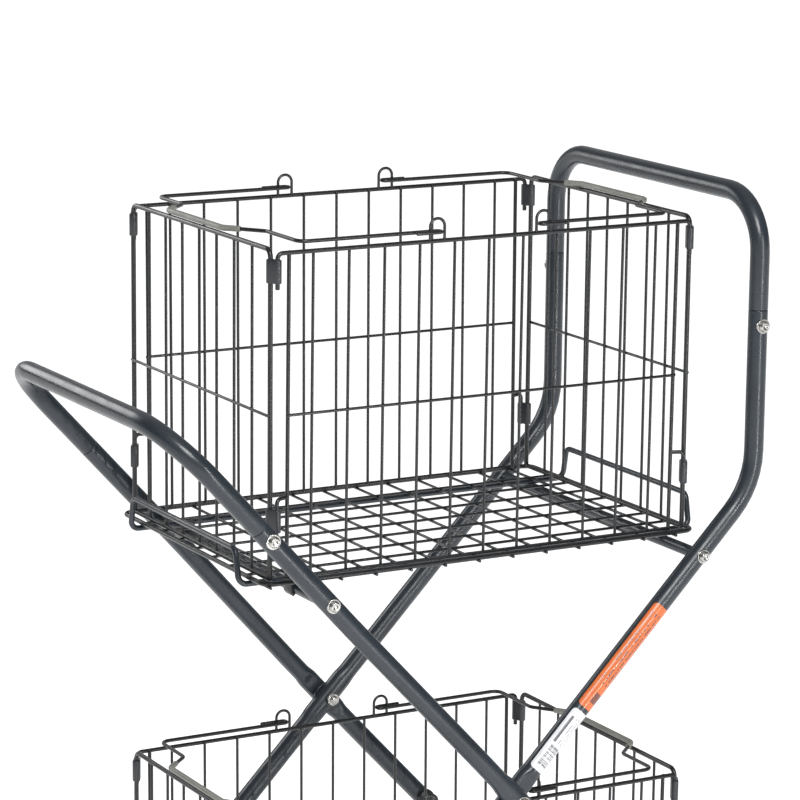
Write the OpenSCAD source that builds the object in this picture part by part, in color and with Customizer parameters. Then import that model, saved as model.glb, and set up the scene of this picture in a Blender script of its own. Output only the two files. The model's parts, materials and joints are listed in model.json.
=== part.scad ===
/* [Basket] */
// Length of a basket between the posts of its two ends
basket_l = 475; // [440:5:485]
// Width of a basket between the posts of one end
basket_w = 310; // [300:2:316]
// Height from the foot wire of a panel to its top wire
basket_h = 322; // [300:2:330]
// Diameter of the post and rim wires
post_d = 5; // [4:0.5:5.5]
// Diameter of the thin grid wires
wire_d = 3; // [2.4:0.2:3.2]
// Thin uprights between the two posts of an end panel
end_wires = 7; // [5:2:9]
// Thin uprights of a side panel
side_wires = 11; // [9:2:11]
// Distance between neighbouring uprights of a side panel
side_pitch = 38.8; // [36:0.4:39.2]
// How far the foot of a side panel leans in
side_lean = 3; // [0:0.5:4]

/* [Bails] */
// Diameter of the bail handle wire
bail_d = 4; // [3.4:0.2:4]
// Distance of a bail's hinge from the middle of the basket
bail_hinge_x = 60; // [54:2:66]
// Height of the bail wire above the end panel's top wire
bail_z = 6; // [5.6:0.2:7]

/* [Frame] */
// Diameter of the frame tubes
tube_d = 20; // [19:0.5:20.5]
// Wall of the leg tubes
tube_wall = 1.4; // [1:0.1:1.8]
// Distance of both frames' leg ends from the middle plane
frame_y = 197; // [195:1:200]
// How far frame A's legs are spread at the pivot, which is the step between two crossing legs
leg_step = 16; // [15:0.5:17]
// Slope of frame A's legs
angle_a = 47.5; // [46.5:0.5:48]
// Slope of frame B's legs
angle_b = 46; // [45:0.5:47]
// Diameter of the cross tubes
cross_d = 12; // [10:0.5:13]
// Height of the pivot bolts above the floor
pivot_z = 478; // [472:1:484]
// Distance of frame A's castors from the pivot along the length
foot_a_reach = 303.5; // [300:0.5:308]
// Distance of frame B's castors from the pivot along the length
foot_b_reach = 311; // [306:1:314]
// Distance of frame A's hand bar from the pivot along the length
bar_a_reach = 375; // [370:0.5:385]
// Distance of frame B's upright arms from the pivot along the length
arm_b_reach = 283; // [280:1:290]
// Height of frame B's hand bar above the floor
bar_b_z = 1068; // [1055:1:1080]

/* [Castors] */
// Wheel diameter
wheel_d = 75; // [72:1:76]
// Tyre width
wheel_w = 22; // [20:1:24]
// Distance of the wheel's axle from the swivel axis
trail = 19; // [18:0.5:20]

/* [Hidden] */
$fn = 40;

slate = [0.24, 0.27, 0.29];
wire_grey = [0.2, 0.21, 0.22];
zinc = [0.75, 0.75, 0.74];
black = [0.08, 0.08, 0.08];
wheel_grey = [0.62, 0.63, 0.64];
tyre_grey = [0.25, 0.25, 0.26];

// Clearances: a shaft in its bore, two faces that slide, two pieces that only pass
shaft_gap = 0.05;
face_gap = 0.3;
part_gap = 0.3;
// Share of two crossing wires' radii that is left between their axes where they are welded
weld = 0.7;

// How far a bend's ends reach into the straight rods, and how much thinner its radius is there
bend_lap = 0.3;
bend_thinning = 0.03;

// Basket layout, with heights counted from the axis of the end panels' top wire
upper_rim_z = 1046;
tier_step = 584;
lower_rim_z = upper_rim_z - tier_step;
post_x = basket_l / 2;
post_y = basket_w / 2;
post_bend = 8;
mid_drop = basket_h / 2;
side_rim_d = 4.4;
side_rim_drop = 3;
side_rim_y = post_y + 7;
side_top_y = side_rim_y - weld * (side_rim_d + wire_d) / 2;
side_end_d = 4;
side_end_x = post_x - 17.5;
pin_x = post_x - 4;
pin_tail_drop = 38;
pin_bend = 5.5;
stub_drop = 242;
stub_tail_drop = 276;
stub_bend = 5;
sleeve_h = 23;
upper_sleeve_drop = 32;
lower_sleeve_drop = 275;
sleeve_wall = 1.2;
loop_d = 3;
loop_w = 16;
loop_top = 19;

// Bail plan: arms run beside the loops, the grip stands over the end panel
bail_arm_x = post_x - 29.5;
bail_grip_x = post_x - 0.5;
bail_arm_y = side_rim_y - (loop_d + bail_d) / 2 - part_gap;
bail_tail_y = side_rim_y + (loop_d + bail_d) / 2 + part_gap;
bail_turn = (bail_tail_y - bail_arm_y) / 2;
bail_tail_l = 25;
bail_bend = 10;
grip_d = bail_d + 1;

// Layers below a basket
base_rim_x = post_x + 9.5;
base_rim_y = post_y + 9;
base_corner = 12;
base_rim_drop = basket_h + 3;
base_long_drop = basket_h + (post_d + wire_d) / 2 + 0.1;
base_cross_drop = base_rim_drop + weld * (post_d + wire_d) / 2;
base_cross_pitch = 38.8;
base_cross_shift = -9.7;
carrier_d = 6;
carrier_y = 125;
carrier_drop = base_cross_drop + (wire_d + carrier_d) / 2 + part_gap;
hoop_left_x = -post_x - 18.5;
hoop_right_x = post_x + 29;
hoop_y = 118;
hoop_drop = basket_h - 24;
hoop_bend = 9;
cross_drop = carrier_drop + (carrier_d + cross_d) / 2 + part_gap;

// Frame layout: pivot_x keeps the origin below the middle of the whole trolley
tube_r = tube_d / 2;
bore_d = tube_d - 2 * tube_wall;
pivot_a_y = frame_y + leg_step;
pivot_x = (bar_a_reach + tube_r - foot_a_reach - trail - wheel_d / 2) / 2;
foot_a_x = pivot_x + foot_a_reach;
foot_b_x = pivot_x - foot_b_reach;
foot_z = 100;
ankle_a_z = pivot_z - foot_a_reach * tan(angle_a);
ankle_b_z = pivot_z - foot_b_reach * tan(angle_b);
ankle_bend = 45;
knee_bend = 90;
spread_start = 60;
spread_reach = 270;
spread_bend = 300;
arm_b_x = pivot_x + arm_b_reach;
knee_b_z = pivot_z + arm_b_reach * tan(angle_b);
bar_a_r = bar_a_reach / cos(angle_a);
bar_a_bend = 68;
bar_b_bend = 50;
seam_a_r = 419;
seam_b_z = 953;
spigot_l = 45;
spigot_d = bore_d - 2 * shaft_gap;
handle_bore_d = spigot_d - 3;
handle_bolt_inset = 16;
upper_cross_z = upper_rim_z - cross_drop;
lower_cross_z = lower_rim_z - cross_drop;
upper_cross_a_r = (upper_cross_z - pivot_z) / sin(angle_a);
upper_cross_b_r = (upper_cross_z - pivot_z) / sin(angle_b);

// Pivot: the crossing tubes are pressed flat on the sides that face each other
spacer_h = 1.5;
pivot_face_a = pivot_a_y - (leg_step - spacer_h) / 2;
pivot_face_b = frame_y + (leg_step - spacer_h) / 2;
flat_half = 24;
flat_run = 10;
solid_half = 40;
pad_r = 13;
pad_h = 3.5;
bumper_r = 183;

// Fasteners
cross_bolt_d = 6;
pivot_bolt_d = 8;
seat_depth = 0.6;
head_d = 14.5;
head_h = 3.6;
pivot_head_d = 16;
nut_d = 11.5;
pivot_nut_d = 15;
nut_h = 5;
nut_rise = 3.9;
bolt_grip = 20;

// Castors
flange_h = 3;
stem_d = 10;
fork_top_z = 87;
plate_t = 3;
cheek_t = 2.5;
wheel_r = wheel_d / 2;
hub_half = 13.5;
cheek_y = hub_half + 0.4;
axle_d = 8;
core_r = wheel_r - 7.5;
brake_x = 27;
brake_z = 81.5;
brake_pin_d = 4;

function unit(v) = v / norm(v);
function turn_at(p, i) = acos(unit(p[i] - p[i - 1]) * unit(p[i + 1] - p[i]));
function trim_at(p, bends, i) =
    i == 0 || i == len(p) - 1 ? 0 : bend_at(bends, i) * tan(turn_at(p, i) / 2);
function bend_at(bends, i) = is_list(bends) ? bends[i - 1] : bends;

// Points on the slanted leg axes, at distance r above the pivot along the tube
function on_leg_a(r, y) = [pivot_x - r * cos(angle_a), y, pivot_z + r * sin(angle_a)];
function on_leg_b(r, y) = [pivot_x + r * cos(angle_b), y, pivot_z + r * sin(angle_b)];

// Straight round rod from a to b
module rod(a, b, d) {
    v = b - a;
    translate(a)
        rotate([0, acos(v[2] / norm(v)), atan2(v[1], v[0])])
            cylinder(d = d, h = norm(v));
}

// Part of a ring that turns the direction p0-p1 into p1-p2; its ends lap inside the straight rods
module bend(p0, p1, p2, r, d) {
    u = unit(p1 - p0);
    v = unit(p2 - p1);
    turn = acos(u * v);
    lap = bend_lap / r * 180 / PI;
    n = unit(v - (u * v) * u);
    c = p1 - u * r * tan(turn / 2) + n * r;
    w = cross(-n, u);
    multmatrix([
        [-n[0], u[0], w[0], c[0]],
        [-n[1], u[1], w[1], c[1]],
        [-n[2], u[2], w[2], c[2]],
        [0, 0, 0, 1]
    ])
        rotate([0, 0, -lap])
            rotate_extrude(angle = turn + 2 * lap)
                translate([r, 0])
                    circle(d = d - 2 * bend_thinning);
}

// Bent wire or tube through points, with one bend radius or a list of them
module wire(points, bends, d) {
    last = len(points) - 1;
    for (i = [0:last - 1]) {
        u = unit(points[i + 1] - points[i]);
        rod(points[i] + u * trim_at(points, bends, i),
            points[i + 1] - u * trim_at(points, bends, i + 1), d);
    }
    if (last > 1)
        for (i = [1:last - 1])
            bend(points[i - 1], points[i], points[i + 1], bend_at(bends, i), d);
}

// Cylinder along Y from y0 towards +Y
module across(x, y0, z, d, h) {
    translate([x, y0, z])
        rotate([-90, 0, 0])
            cylinder(d = d, h = h);
}

// Places children at the front side and, mirrored, at the back side
module both_sides() {
    children();
    mirror([0, 1, 0])
        children();
}

// ---- Fasteners, drawn along +Z with the head's seat at the origin and the head below it

module bolt(shank_d, cap_d, length) {
    cap_r = cap_d / 2;
    ball_r = (cap_r * cap_r + head_h * head_h) / (2 * head_h);
    difference() {
        union() {
            intersection() {
                translate([0, 0, ball_r - head_h])
                    sphere(r = ball_r);
                translate([0, 0, -head_h])
                    cylinder(r = cap_r - 0.4, h = head_h);
            }
            cylinder(d = shank_d, h = length);
        }
        translate([0, 0, -head_h - 1])
            cylinder(d = shank_d * 0.8, h = 3, $fn = 6);
    }
}

module nut(shank_d, hex_d, h) {
    difference() {
        cylinder(d = hex_d, h = h, $fn = 6);
        translate([0, 0, -1])
            cylinder(d = shank_d + 2 * shaft_gap, h = h + 2);
    }
}

// Bolt from the front at p, whose seat is seat_y in front of the middle plane
module front_bolt(p, seat_y, shank_d, cap_d, length) {
    translate([p[0], -seat_y, p[2]])
        rotate([-90, 0, 0])
            bolt(shank_d, cap_d, length);
}

module front_nut(p, seat_y, shank_d, hex_d, h) {
    translate([p[0], -seat_y, p[2]])
        rotate([-90, 0, 0])
            nut(shank_d, hex_d, h);
}

// Hole from outside into a front leg, to the given depth behind p on its axis, with a seat
module bolt_hole(p, depth) {
    across(p[0], p[1] - tube_d, p[2], cross_bolt_d + 2 * shaft_gap, tube_d + depth);
    across(p[0], p[1] - tube_d, p[2], head_d + 1, tube_r + seat_depth);
}

// Pivot hole through a front leg whose axis is at y, with seats on its two sides
module pivot_hole(y) {
    across(pivot_x, y - tube_d, pivot_z, pivot_bolt_d + 2 * shaft_gap, 2 * tube_d);
    across(pivot_x, y - tube_d, pivot_z, pivot_head_d + 1, tube_r + seat_depth);
    across(pivot_x, y + tube_r - seat_depth, pivot_z, pivot_head_d + 1, tube_r);
}

// ---- Frame A

module leg_a() {
    y = -frame_y;
    pivot_y = -pivot_a_y;
    ankle = [foot_a_x, y, ankle_a_z];
    foot = [foot_a_x, y, foot_z];
    above = [on_leg_a(spread_reach, y), on_leg_a(spread_start, pivot_y)];
    below = [on_leg_a(-spread_start, pivot_y), on_leg_a(-spread_reach, y), ankle];
    lower_bends = [spread_bend, spread_bend, ankle_bend];
    upper_hole = on_leg_a(upper_cross_a_r, y);
    lower_hole = [foot_a_x, y, lower_cross_z];
    color(slate)
        difference() {
            union() {
                wire(concat([on_leg_a(seam_a_r, y)], above, below, [foot]),
                    concat([spread_bend, spread_bend], lower_bends), tube_d);
                across(pivot_x, -pivot_face_a - pad_h, pivot_z, 2 * pad_r, pad_h);
            }
            translate([pivot_x, 0, pivot_z])
                rotate([0, angle_a, 0])
                    linear_extrude(height = 2 * tube_d, center = true)
                        polygon([
                            [-flat_half, -pivot_face_a],
                            [flat_half, -pivot_face_a],
                            [flat_half + flat_run, pivot_y + tube_r + 1],
                            [-flat_half - flat_run, pivot_y + tube_r + 1]
                        ]);
            wire(concat([on_leg_a(seam_a_r + 1, y)], above, [on_leg_a(solid_half, pivot_y)]),
                spread_bend, bore_d);
            wire(concat([on_leg_a(-solid_half, pivot_y)], below, [foot - [0, 0, 1]]), lower_bends, bore_d);
            pivot_hole(pivot_y);
            bolt_hole(on_leg_a(seam_a_r - handle_bolt_inset, y), 0);
            bolt_hole(upper_hole, tube_d);
            bolt_hole(lower_hole, tube_d);
        }
}

module leg_a_front() {
    leg_a();
}

module leg_a_back() {
    mirror([0, 1, 0])
        leg_a();
}

// Hand bar bent from one tube, with two spigots that slide into the leg tubes
module hand_bar(seam, corner, inward, bolt_at, bar_bend) {
    spigot_end = seam + inward * spigot_l;
    color(slate)
        difference() {
            union() {
                wire([seam, corner, mirror_y(corner), mirror_y(seam)], bar_bend, tube_d);
                both_sides()
                    rod(spigot_end, seam - inward * 2, spigot_d);
            }
            wire([spigot_end + inward, corner, mirror_y(corner), mirror_y(spigot_end + inward)],
                bar_bend, handle_bore_d);
            both_sides()
                across(bolt_at[0], bolt_at[1] - tube_d, bolt_at[2], cross_bolt_d + 2 * shaft_gap, tube_d);
        }
}

function mirror_y(p) = [p[0], -p[1], p[2]];

module handle_a() {
    hand_bar(on_leg_a(seam_a_r, -frame_y), on_leg_a(bar_a_r, -frame_y), [cos(angle_a), 0, -sin(angle_a)],
        on_leg_a(seam_a_r - handle_bolt_inset, -frame_y), bar_a_bend);
}

// Cross tube along Y whose ends are cut to the legs' curve; tilt turns the legs away from upright
module cross_tube(x, z, leg_y, tilt) {
    color(slate)
        difference() {
            across(x, -leg_y, z, cross_d, 2 * leg_y);
            across(x, -leg_y - 1, z, cross_bolt_d + 2 * shaft_gap, 2 * leg_y + 2);
            both_sides()
                translate([x, -leg_y, z])
                    rotate([0, tilt, 0])
                        cylinder(r = tube_r + shaft_gap, h = 4 * cross_d, center = true);
        }
}

module cross_tube_a_upper() {
    cross_tube(on_leg_a(upper_cross_a_r, 0)[0], upper_cross_z, frame_y, angle_a - 90);
}

module cross_tube_a_lower() {
    cross_tube(foot_a_x, lower_cross_z, frame_y, 0);
}

// Two bolts from outside, one in each arm of a frame at p, with their nuts inside the spigots
module arm_bolts(p, leg_y) {
    color(zinc)
        both_sides() {
            front_bolt(p, leg_y + tube_r - seat_depth, cross_bolt_d, head_d, tube_r + nut_rise);
            front_nut(p, leg_y + nut_rise, cross_bolt_d, nut_d, nut_h);
        }
}

module handle_bolts_a() {
    arm_bolts(on_leg_a(seam_a_r - handle_bolt_inset, 0), frame_y);
}

// Bolts through the legs into the ends of a frame's two cross tubes
module tube_bolts(upper, lower, leg_y) {
    color(zinc)
        both_sides()
            for (p = [upper, lower])
                front_bolt(p, leg_y + tube_r - seat_depth, cross_bolt_d, head_d, tube_d + bolt_grip);
}

module cross_bolts_a() {
    tube_bolts(on_leg_a(upper_cross_a_r, 0), [foot_a_x, 0, lower_cross_z], frame_y);
}

module pivot_bolts() {
    p = on_leg_a(0, 0);
    seat = pivot_a_y + tube_r - seat_depth;
    nut_seat = frame_y - tube_r + seat_depth - face_gap;
    color(zinc)
        both_sides() {
            front_bolt(p, seat, pivot_bolt_d, pivot_head_d, seat - nut_seat + nut_h + 3);
            front_nut(p, nut_seat, pivot_bolt_d, pivot_nut_d, nut_h + 1);
        }
}

module pivot_spacers() {
    color(black)
        both_sides()
            difference() {
                across(pivot_x, -pivot_face_a, pivot_z, 2 * pad_r, spacer_h - face_gap);
                across(pivot_x, -pivot_a_y, pivot_z, pivot_bolt_d + 2 * shaft_gap, leg_step);
            }
}

// Distance of frame A's spread leg from the middle plane at distance r from the pivot
function spread_y(r) = frame_y + leg_step * (spread_reach - r) / (spread_reach - spread_start);

module leg_bumpers() {
    p = on_leg_a(-bumper_r, -spread_y(bumper_r));
    near = bumper_r - 2 * tube_d;
    far = bumper_r + 2 * tube_d;
    color(black)
        both_sides()
            difference() {
                union() {
                    across(p[0], p[1] + 6, p[2], tube_d, 7);
                    translate([p[0], p[1] + 13, p[2]])
                        intersection() {
                            sphere(d = tube_d);
                            across(0, 0, 0, tube_d, 4);
                        }
                }
                rod(on_leg_a(-near, -spread_y(near)), on_leg_a(-far, -spread_y(far)),
                    tube_d + 2 * shaft_gap);
            }
}

// Plug in a leg's foot, with the flange and the stem that a castor turns on
module castor_socket(x, leg_y) {
    translate([x, -leg_y, foot_z]) {
        translate([0, 0, -flange_h])
            cylinder(d = tube_d + 2, h = flange_h);
        cylinder(d = bore_d - 2 * shaft_gap, h = 12);
        translate([0, 0, fork_top_z - plate_t - face_gap - foot_z])
            cylinder(d = stem_d, h = foot_z - fork_top_z + plate_t);
        translate([0, 0, fork_top_z - plate_t - face_gap - 3 - foot_z])
            cylinder(d = stem_d + 6, h = 3);
    }
}

module castor_sockets_a() {
    color(zinc)
        both_sides()
            castor_socket(foot_a_x, frame_y);
}

// ---- Frame B

module leg_b() {
    y = -frame_y;
    knee = [arm_b_x, y, knee_b_z];
    ankle = [foot_b_x, y, ankle_b_z];
    bends = [knee_bend, ankle_bend];
    upper_hole = on_leg_b(upper_cross_b_r, y);
    lower_hole = [foot_b_x, y, lower_cross_z];
    color(slate)
        difference() {
            union() {
                wire([[arm_b_x, y, seam_b_z], knee, ankle, [foot_b_x, y, foot_z]], bends, tube_d);
                across(pivot_x, -pivot_face_b, pivot_z, 2 * pad_r, pad_h);
            }
            translate([pivot_x, 0, pivot_z])
                rotate([0, -angle_b, 0])
                    linear_extrude(height = 2 * tube_d, center = true)
                        polygon([
                            [-flat_half, -pivot_face_b],
                            [flat_half, -pivot_face_b],
                            [flat_half + flat_run, -frame_y - tube_r - 1],
                            [-flat_half - flat_run, -frame_y - tube_r - 1]
                        ]);
            wire([[arm_b_x, y, seam_b_z + 1], knee, on_leg_b(solid_half, y)], knee_bend, bore_d);
            wire([on_leg_b(-solid_half, y), ankle, [foot_b_x, y, foot_z - 1]], ankle_bend, bore_d);
            pivot_hole(y);
            bolt_hole([arm_b_x, y, seam_b_z - handle_bolt_inset], 0);
            bolt_hole(upper_hole, tube_d);
            bolt_hole(lower_hole, tube_d);
        }
}

module leg_b_front() {
    leg_b();
}

module leg_b_back() {
    mirror([0, 1, 0])
        leg_b();
}

module handle_b() {
    hand_bar([arm_b_x, -frame_y, seam_b_z], [arm_b_x, -frame_y, bar_b_z], [0, 0, -1],
        [arm_b_x, -frame_y, seam_b_z - handle_bolt_inset], bar_b_bend);
}

module cross_tube_b_upper() {
    cross_tube(on_leg_b(upper_cross_b_r, 0)[0], upper_cross_z, frame_y, 90 - angle_b);
}

module cross_tube_b_lower() {
    cross_tube(foot_b_x, lower_cross_z, frame_y, 0);
}

module handle_bolts_b() {
    arm_bolts([arm_b_x, 0, seam_b_z - handle_bolt_inset], frame_y);
}

module cross_bolts_b() {
    tube_bolts(on_leg_b(upper_cross_b_r, 0), [foot_b_x, 0, lower_cross_z], frame_y);
}

module castor_sockets_b() {
    color(zinc)
        both_sides()
            castor_socket(foot_b_x, frame_y);
}

// Thin sticker wrapped round the outer side of frame B's front leg, from r0 to r1 above the pivot
module leg_label(r0, r1) {
    translate(on_leg_b(r0, -frame_y))
        rotate([0, 90 - angle_b, 0])
            rotate([0, 0, -190])
                rotate_extrude(angle = 200)
                    translate([tube_r + 0.02, 0])
                        square([0.35, r1 - r0]);
}

module orange_label() {
    color([0.9, 0.4, 0.1])
        leg_label(117, 247);
}

module white_label() {
    color("white")
        leg_label(37, 111);
}

// ---- Basket pieces, drawn with the end panels' top wire at height 0

module end_panel(side) {
    x = side * post_x;
    pitch = basket_w / (end_wires + 1);
    color(wire_grey) {
        wire([[x, -post_y, -basket_h], [x, -post_y, 0], [x, post_y, 0], [x, post_y, -basket_h]],
            post_bend, post_d);
        rod([x, -post_y, -basket_h], [x, post_y, -basket_h], post_d);
        rod([x + side * weld * wire_d, -post_y, -mid_drop], [x + side * weld * wire_d, post_y, -mid_drop],
            wire_d);
        for (i = [1:end_wires])
            rod([x, -post_y + i * pitch, -basket_h], [x, -post_y + i * pitch, 0], wire_d);
    }
}

function side_y(drop) = side_top_y - side_lean * drop / basket_h;

// Front panel: its rim ends and two short stubs are bent down as pins
module side_panel() {
    foot_y = side_y(basket_h) + weld * wire_d;
    mid_y = side_y(mid_drop) + weld * wire_d;
    half = (side_wires - 1) / 2;
    color(wire_grey) {
        wire([
            [-pin_x, -side_rim_y, -pin_tail_drop], [-pin_x, -side_rim_y, -side_rim_drop],
            [pin_x, -side_rim_y, -side_rim_drop], [pin_x, -side_rim_y, -pin_tail_drop]
        ], pin_bend, side_rim_d);
        rod([-side_end_x, -foot_y, -basket_h], [side_end_x, -foot_y, -basket_h], wire_d);
        rod([-side_end_x, -mid_y, -mid_drop], [side_end_x, -mid_y, -mid_drop], wire_d);
        for (i = [-half:half])
            rod([i * side_pitch, -side_y(basket_h), -basket_h - 1],
                [i * side_pitch, -side_top_y, -side_rim_drop + 1], wire_d);
        for (end = [-1, 1]) {
            rod([end * side_end_x, -side_y(basket_h), -basket_h - 1],
                [end * side_end_x, -side_top_y, -side_rim_drop + 1], side_end_d);
            wire([
                [end * side_end_x, -side_y(stub_drop), -stub_drop],
                [end * pin_x, -side_rim_y, -stub_drop],
                [end * pin_x, -side_rim_y, -stub_tail_drop]
            ], stub_bend, side_end_d);
            bail_loop(end * bail_hinge_x);
        }
    }
}

// Wire loop on the rim that a bail hooks into
module bail_loop(x) {
    wire([
        [x - loop_w / 2, -side_rim_y, -side_rim_drop], [x - loop_w / 2, -side_rim_y, loop_top],
        [x + loop_w / 2, -side_rim_y, loop_top], [x + loop_w / 2, -side_rim_y, -side_rim_drop]
    ], loop_w / 2 - 0.2, loop_d);
}

module base_grid() {
    z = -base_rim_drop;
    half = (end_wires - 1) / 2;
    pitch = basket_w / (end_wires + 1);
    color(wire_grey) {
        wire([
            [0, -base_rim_y, z], [base_rim_x, -base_rim_y, z], [base_rim_x, base_rim_y, z],
            [-base_rim_x, base_rim_y, z], [-base_rim_x, -base_rim_y, z], [0, -base_rim_y, z]
        ], base_corner, post_d);
        for (i = [-half:half])
            rod([-base_rim_x, i * pitch, -base_long_drop], [base_rim_x, i * pitch, -base_long_drop], wire_d);
        for (i = [-6:6])
            rod([i * base_cross_pitch + base_cross_shift, -base_rim_y - 4, -base_cross_drop],
                [i * base_cross_pitch + base_cross_shift, base_rim_y + 4, -base_cross_drop], wire_d);
    }
}

// Sheet sleeve that holds a side panel's pin beside a post
module sleeve(bottom_drop) {
    reach = [pin_x - post_x, post_y - side_rim_y];
    post_hole = post_d + 2 * shaft_gap;
    pin_hole = side_rim_d + 2 * shaft_gap;
    translate([post_x, -post_y, -bottom_drop])
        linear_extrude(height = sleeve_h)
            difference() {
                union() {
                    circle(d = post_hole + 2 * sleeve_wall);
                    translate(reach)
                        circle(d = pin_hole + 2 * sleeve_wall);
                    rotate(atan2(reach[1], reach[0]))
                        translate([0, -(pin_hole + sleeve_wall) / 2])
                            square([norm(reach), pin_hole + sleeve_wall]);
                }
                circle(d = post_hole);
                translate(reach)
                    circle(d = pin_hole);
            }
}

module sleeves() {
    color(zinc)
        both_sides()
            for (flip = [0, 1])
                mirror([flip, 0, 0])
                    for (drop = [upper_sleeve_drop, lower_sleeve_drop])
                        sleeve(drop);
}

module bail() {
    z = bail_z;
    tip_x = bail_hinge_x - bail_turn;
    tail_x = bail_hinge_x + bail_tail_l;
    turn_bend = bail_turn - 0.1;
    path = [
        [tail_x, bail_tail_y, z], [tip_x, bail_tail_y, z], [tip_x, bail_arm_y, z],
        [bail_arm_x, bail_arm_y, z], [bail_arm_x, 88, z], [bail_grip_x, 50, z],
        [bail_grip_x, -72, z], [bail_arm_x, -100, z], [bail_arm_x, -bail_arm_y, z],
        [tip_x, -bail_arm_y, z], [tip_x, -bail_tail_y, z], [tail_x, -bail_tail_y, z]
    ];
    bends = [
        turn_bend, turn_bend, bail_bend, bail_bend, bail_bend,
        bail_bend, bail_bend, bail_bend, turn_bend, turn_bend
    ];
    color(wire_grey) {
        wire(path, bends, bail_d);
        rod([bail_grip_x, -64, z], [bail_grip_x, 44, z], grip_d);
    }
}

// End hoop of a carrier, which keeps the basket from sliding off
module hoop(x) {
    wire([
        [x, -carrier_y, -carrier_drop], [x, -hoop_y, -hoop_drop],
        [x, hoop_y, -hoop_drop], [x, carrier_y, -carrier_drop]
    ], hoop_bend, carrier_d);
}

// Snap clip round frame A's cross tube, with a groove for the carrier wire
module carrier_clip(x) {
    up = (carrier_d + cross_d) / 2 + part_gap;
    w = 16;
    translate([x, -carrier_y, -cross_drop])
        difference() {
            union() {
                across(0, -w / 2, 0, cross_d + 6, w);
                translate([-w / 2, -w / 2, 0])
                    cube([w, w, up + carrier_d / 2 - 0.1]);
            }
            across(0, -w, 0, cross_d + 2 * shaft_gap, 2 * w);
            translate([-w, 0, up])
                rotate([0, 90, 0])
                    cylinder(d = carrier_d + 2 * shaft_gap, h = 2 * w);
            translate([-cross_d / 2 + 1.5, -w, -cross_d])
                cube([cross_d - 3, 2 * w, cross_d]);
        }
}

module at_rim(z) {
    translate([0, 0, z])
        children();
}

module upper_carrier() {
    z = -carrier_drop;
    color(slate)
        at_rim(upper_rim_z)
            wire([
                [0, -carrier_y, z], [hoop_right_x, -carrier_y, z],
                [hoop_right_x, -hoop_y, -hoop_drop], [hoop_right_x, hoop_y, -hoop_drop],
                [hoop_right_x, carrier_y, z], [hoop_left_x, carrier_y, z],
                [hoop_left_x, hoop_y, -hoop_drop], [hoop_left_x, -hoop_y, -hoop_drop],
                [hoop_left_x, -carrier_y, z], [0, -carrier_y, z]
            ], hoop_bend, carrier_d);
}

module lower_carrier() {
    color(slate)
        at_rim(lower_rim_z) {
            both_sides()
                rod([foot_b_x - 12, -carrier_y, -carrier_drop], [foot_a_x + 12, -carrier_y, -carrier_drop],
                    carrier_d);
            hoop(hoop_left_x);
            hoop(hoop_right_x);
        }
}

module upper_carrier_clips() {
    color(black)
        at_rim(upper_rim_z)
            both_sides()
                carrier_clip(on_leg_a(upper_cross_a_r, 0)[0]);
}

module lower_carrier_clips() {
    color(black)
        at_rim(lower_rim_z)
            both_sides()
                carrier_clip(foot_a_x);
}

module upper_base_grid() {
    at_rim(upper_rim_z)
        base_grid();
}

module upper_left_end() {
    at_rim(upper_rim_z)
        end_panel(-1);
}

module upper_right_end() {
    at_rim(upper_rim_z)
        end_panel(1);
}

module upper_front_panel() {
    at_rim(upper_rim_z)
        side_panel();
}

module upper_back_panel() {
    at_rim(upper_rim_z)
        mirror([0, 1, 0])
            side_panel();
}

module upper_sleeves() {
    at_rim(upper_rim_z)
        sleeves();
}

module upper_bail_left() {
    at_rim(upper_rim_z)
        rotate([0, 0, 180])
            bail();
}

module upper_bail_right() {
    at_rim(upper_rim_z)
        bail();
}

module lower_base_grid() {
    at_rim(lower_rim_z)
        base_grid();
}

module lower_left_end() {
    at_rim(lower_rim_z)
        end_panel(-1);
}

module lower_right_end() {
    at_rim(lower_rim_z)
        end_panel(1);
}

module lower_front_panel() {
    at_rim(lower_rim_z)
        side_panel();
}

module lower_back_panel() {
    at_rim(lower_rim_z)
        mirror([0, 1, 0])
            side_panel();
}

module lower_sleeves() {
    at_rim(lower_rim_z)
        sleeves();
}

module lower_bail_left() {
    at_rim(lower_rim_z)
        rotate([0, 0, 180])
            bail();
}

module lower_bail_right() {
    at_rim(lower_rim_z)
        bail();
}

// ---- Castors, drawn with the swivel axis on Z and the wheel trailing towards +X

module fork(braked) {
    color(zinc)
        difference() {
            union() {
                translate([0, 0, fork_top_z])
                    cylinder(d = 34, h = foot_z - flange_h - face_gap - fork_top_z);
                translate([-15, -cheek_y - cheek_t, fork_top_z - plate_t])
                    cube([34, 2 * (cheek_y + cheek_t), plate_t]);
                both_sides()
                    translate([0, -cheek_y, 0])
                        rotate([90, 0, 0])
                            linear_extrude(height = cheek_t)
                                cheek(braked);
            }
            translate([0, 0, fork_top_z - plate_t - 1])
                cylinder(d = stem_d + 2 * shaft_gap, h = 20);
            across(trail, -30, wheel_r, axle_d + 2 * shaft_gap, 60);
            if (braked)
                across(brake_x, -30, brake_z, brake_pin_d + 2 * shaft_gap, 60);
        }
}

// Outline of one side plate of a fork, in X and Z
module cheek(braked) {
    polygon([
        [-15, fork_top_z], [19, fork_top_z], [trail + 10, wheel_r + 4], [trail - 9, wheel_r - 3]
    ]);
    translate([trail, wheel_r])
        circle(r = 10);
    if (braked) {
        polygon([[10, fork_top_z], [brake_x, fork_top_z - 1], [brake_x, brake_z - 4], [15, 70]]);
        translate([brake_x, brake_z])
            circle(r = 5);
    }
}

module axle() {
    head = 3;
    half = cheek_y + cheek_t;
    color(zinc) {
        across(trail, -half - head, wheel_r, axle_d, 2 * half + 2 * head);
        across(trail, -half - head, wheel_r, axle_d + 5, head);
        across(trail, half, wheel_r, axle_d + 5, head);
    }
}

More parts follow.
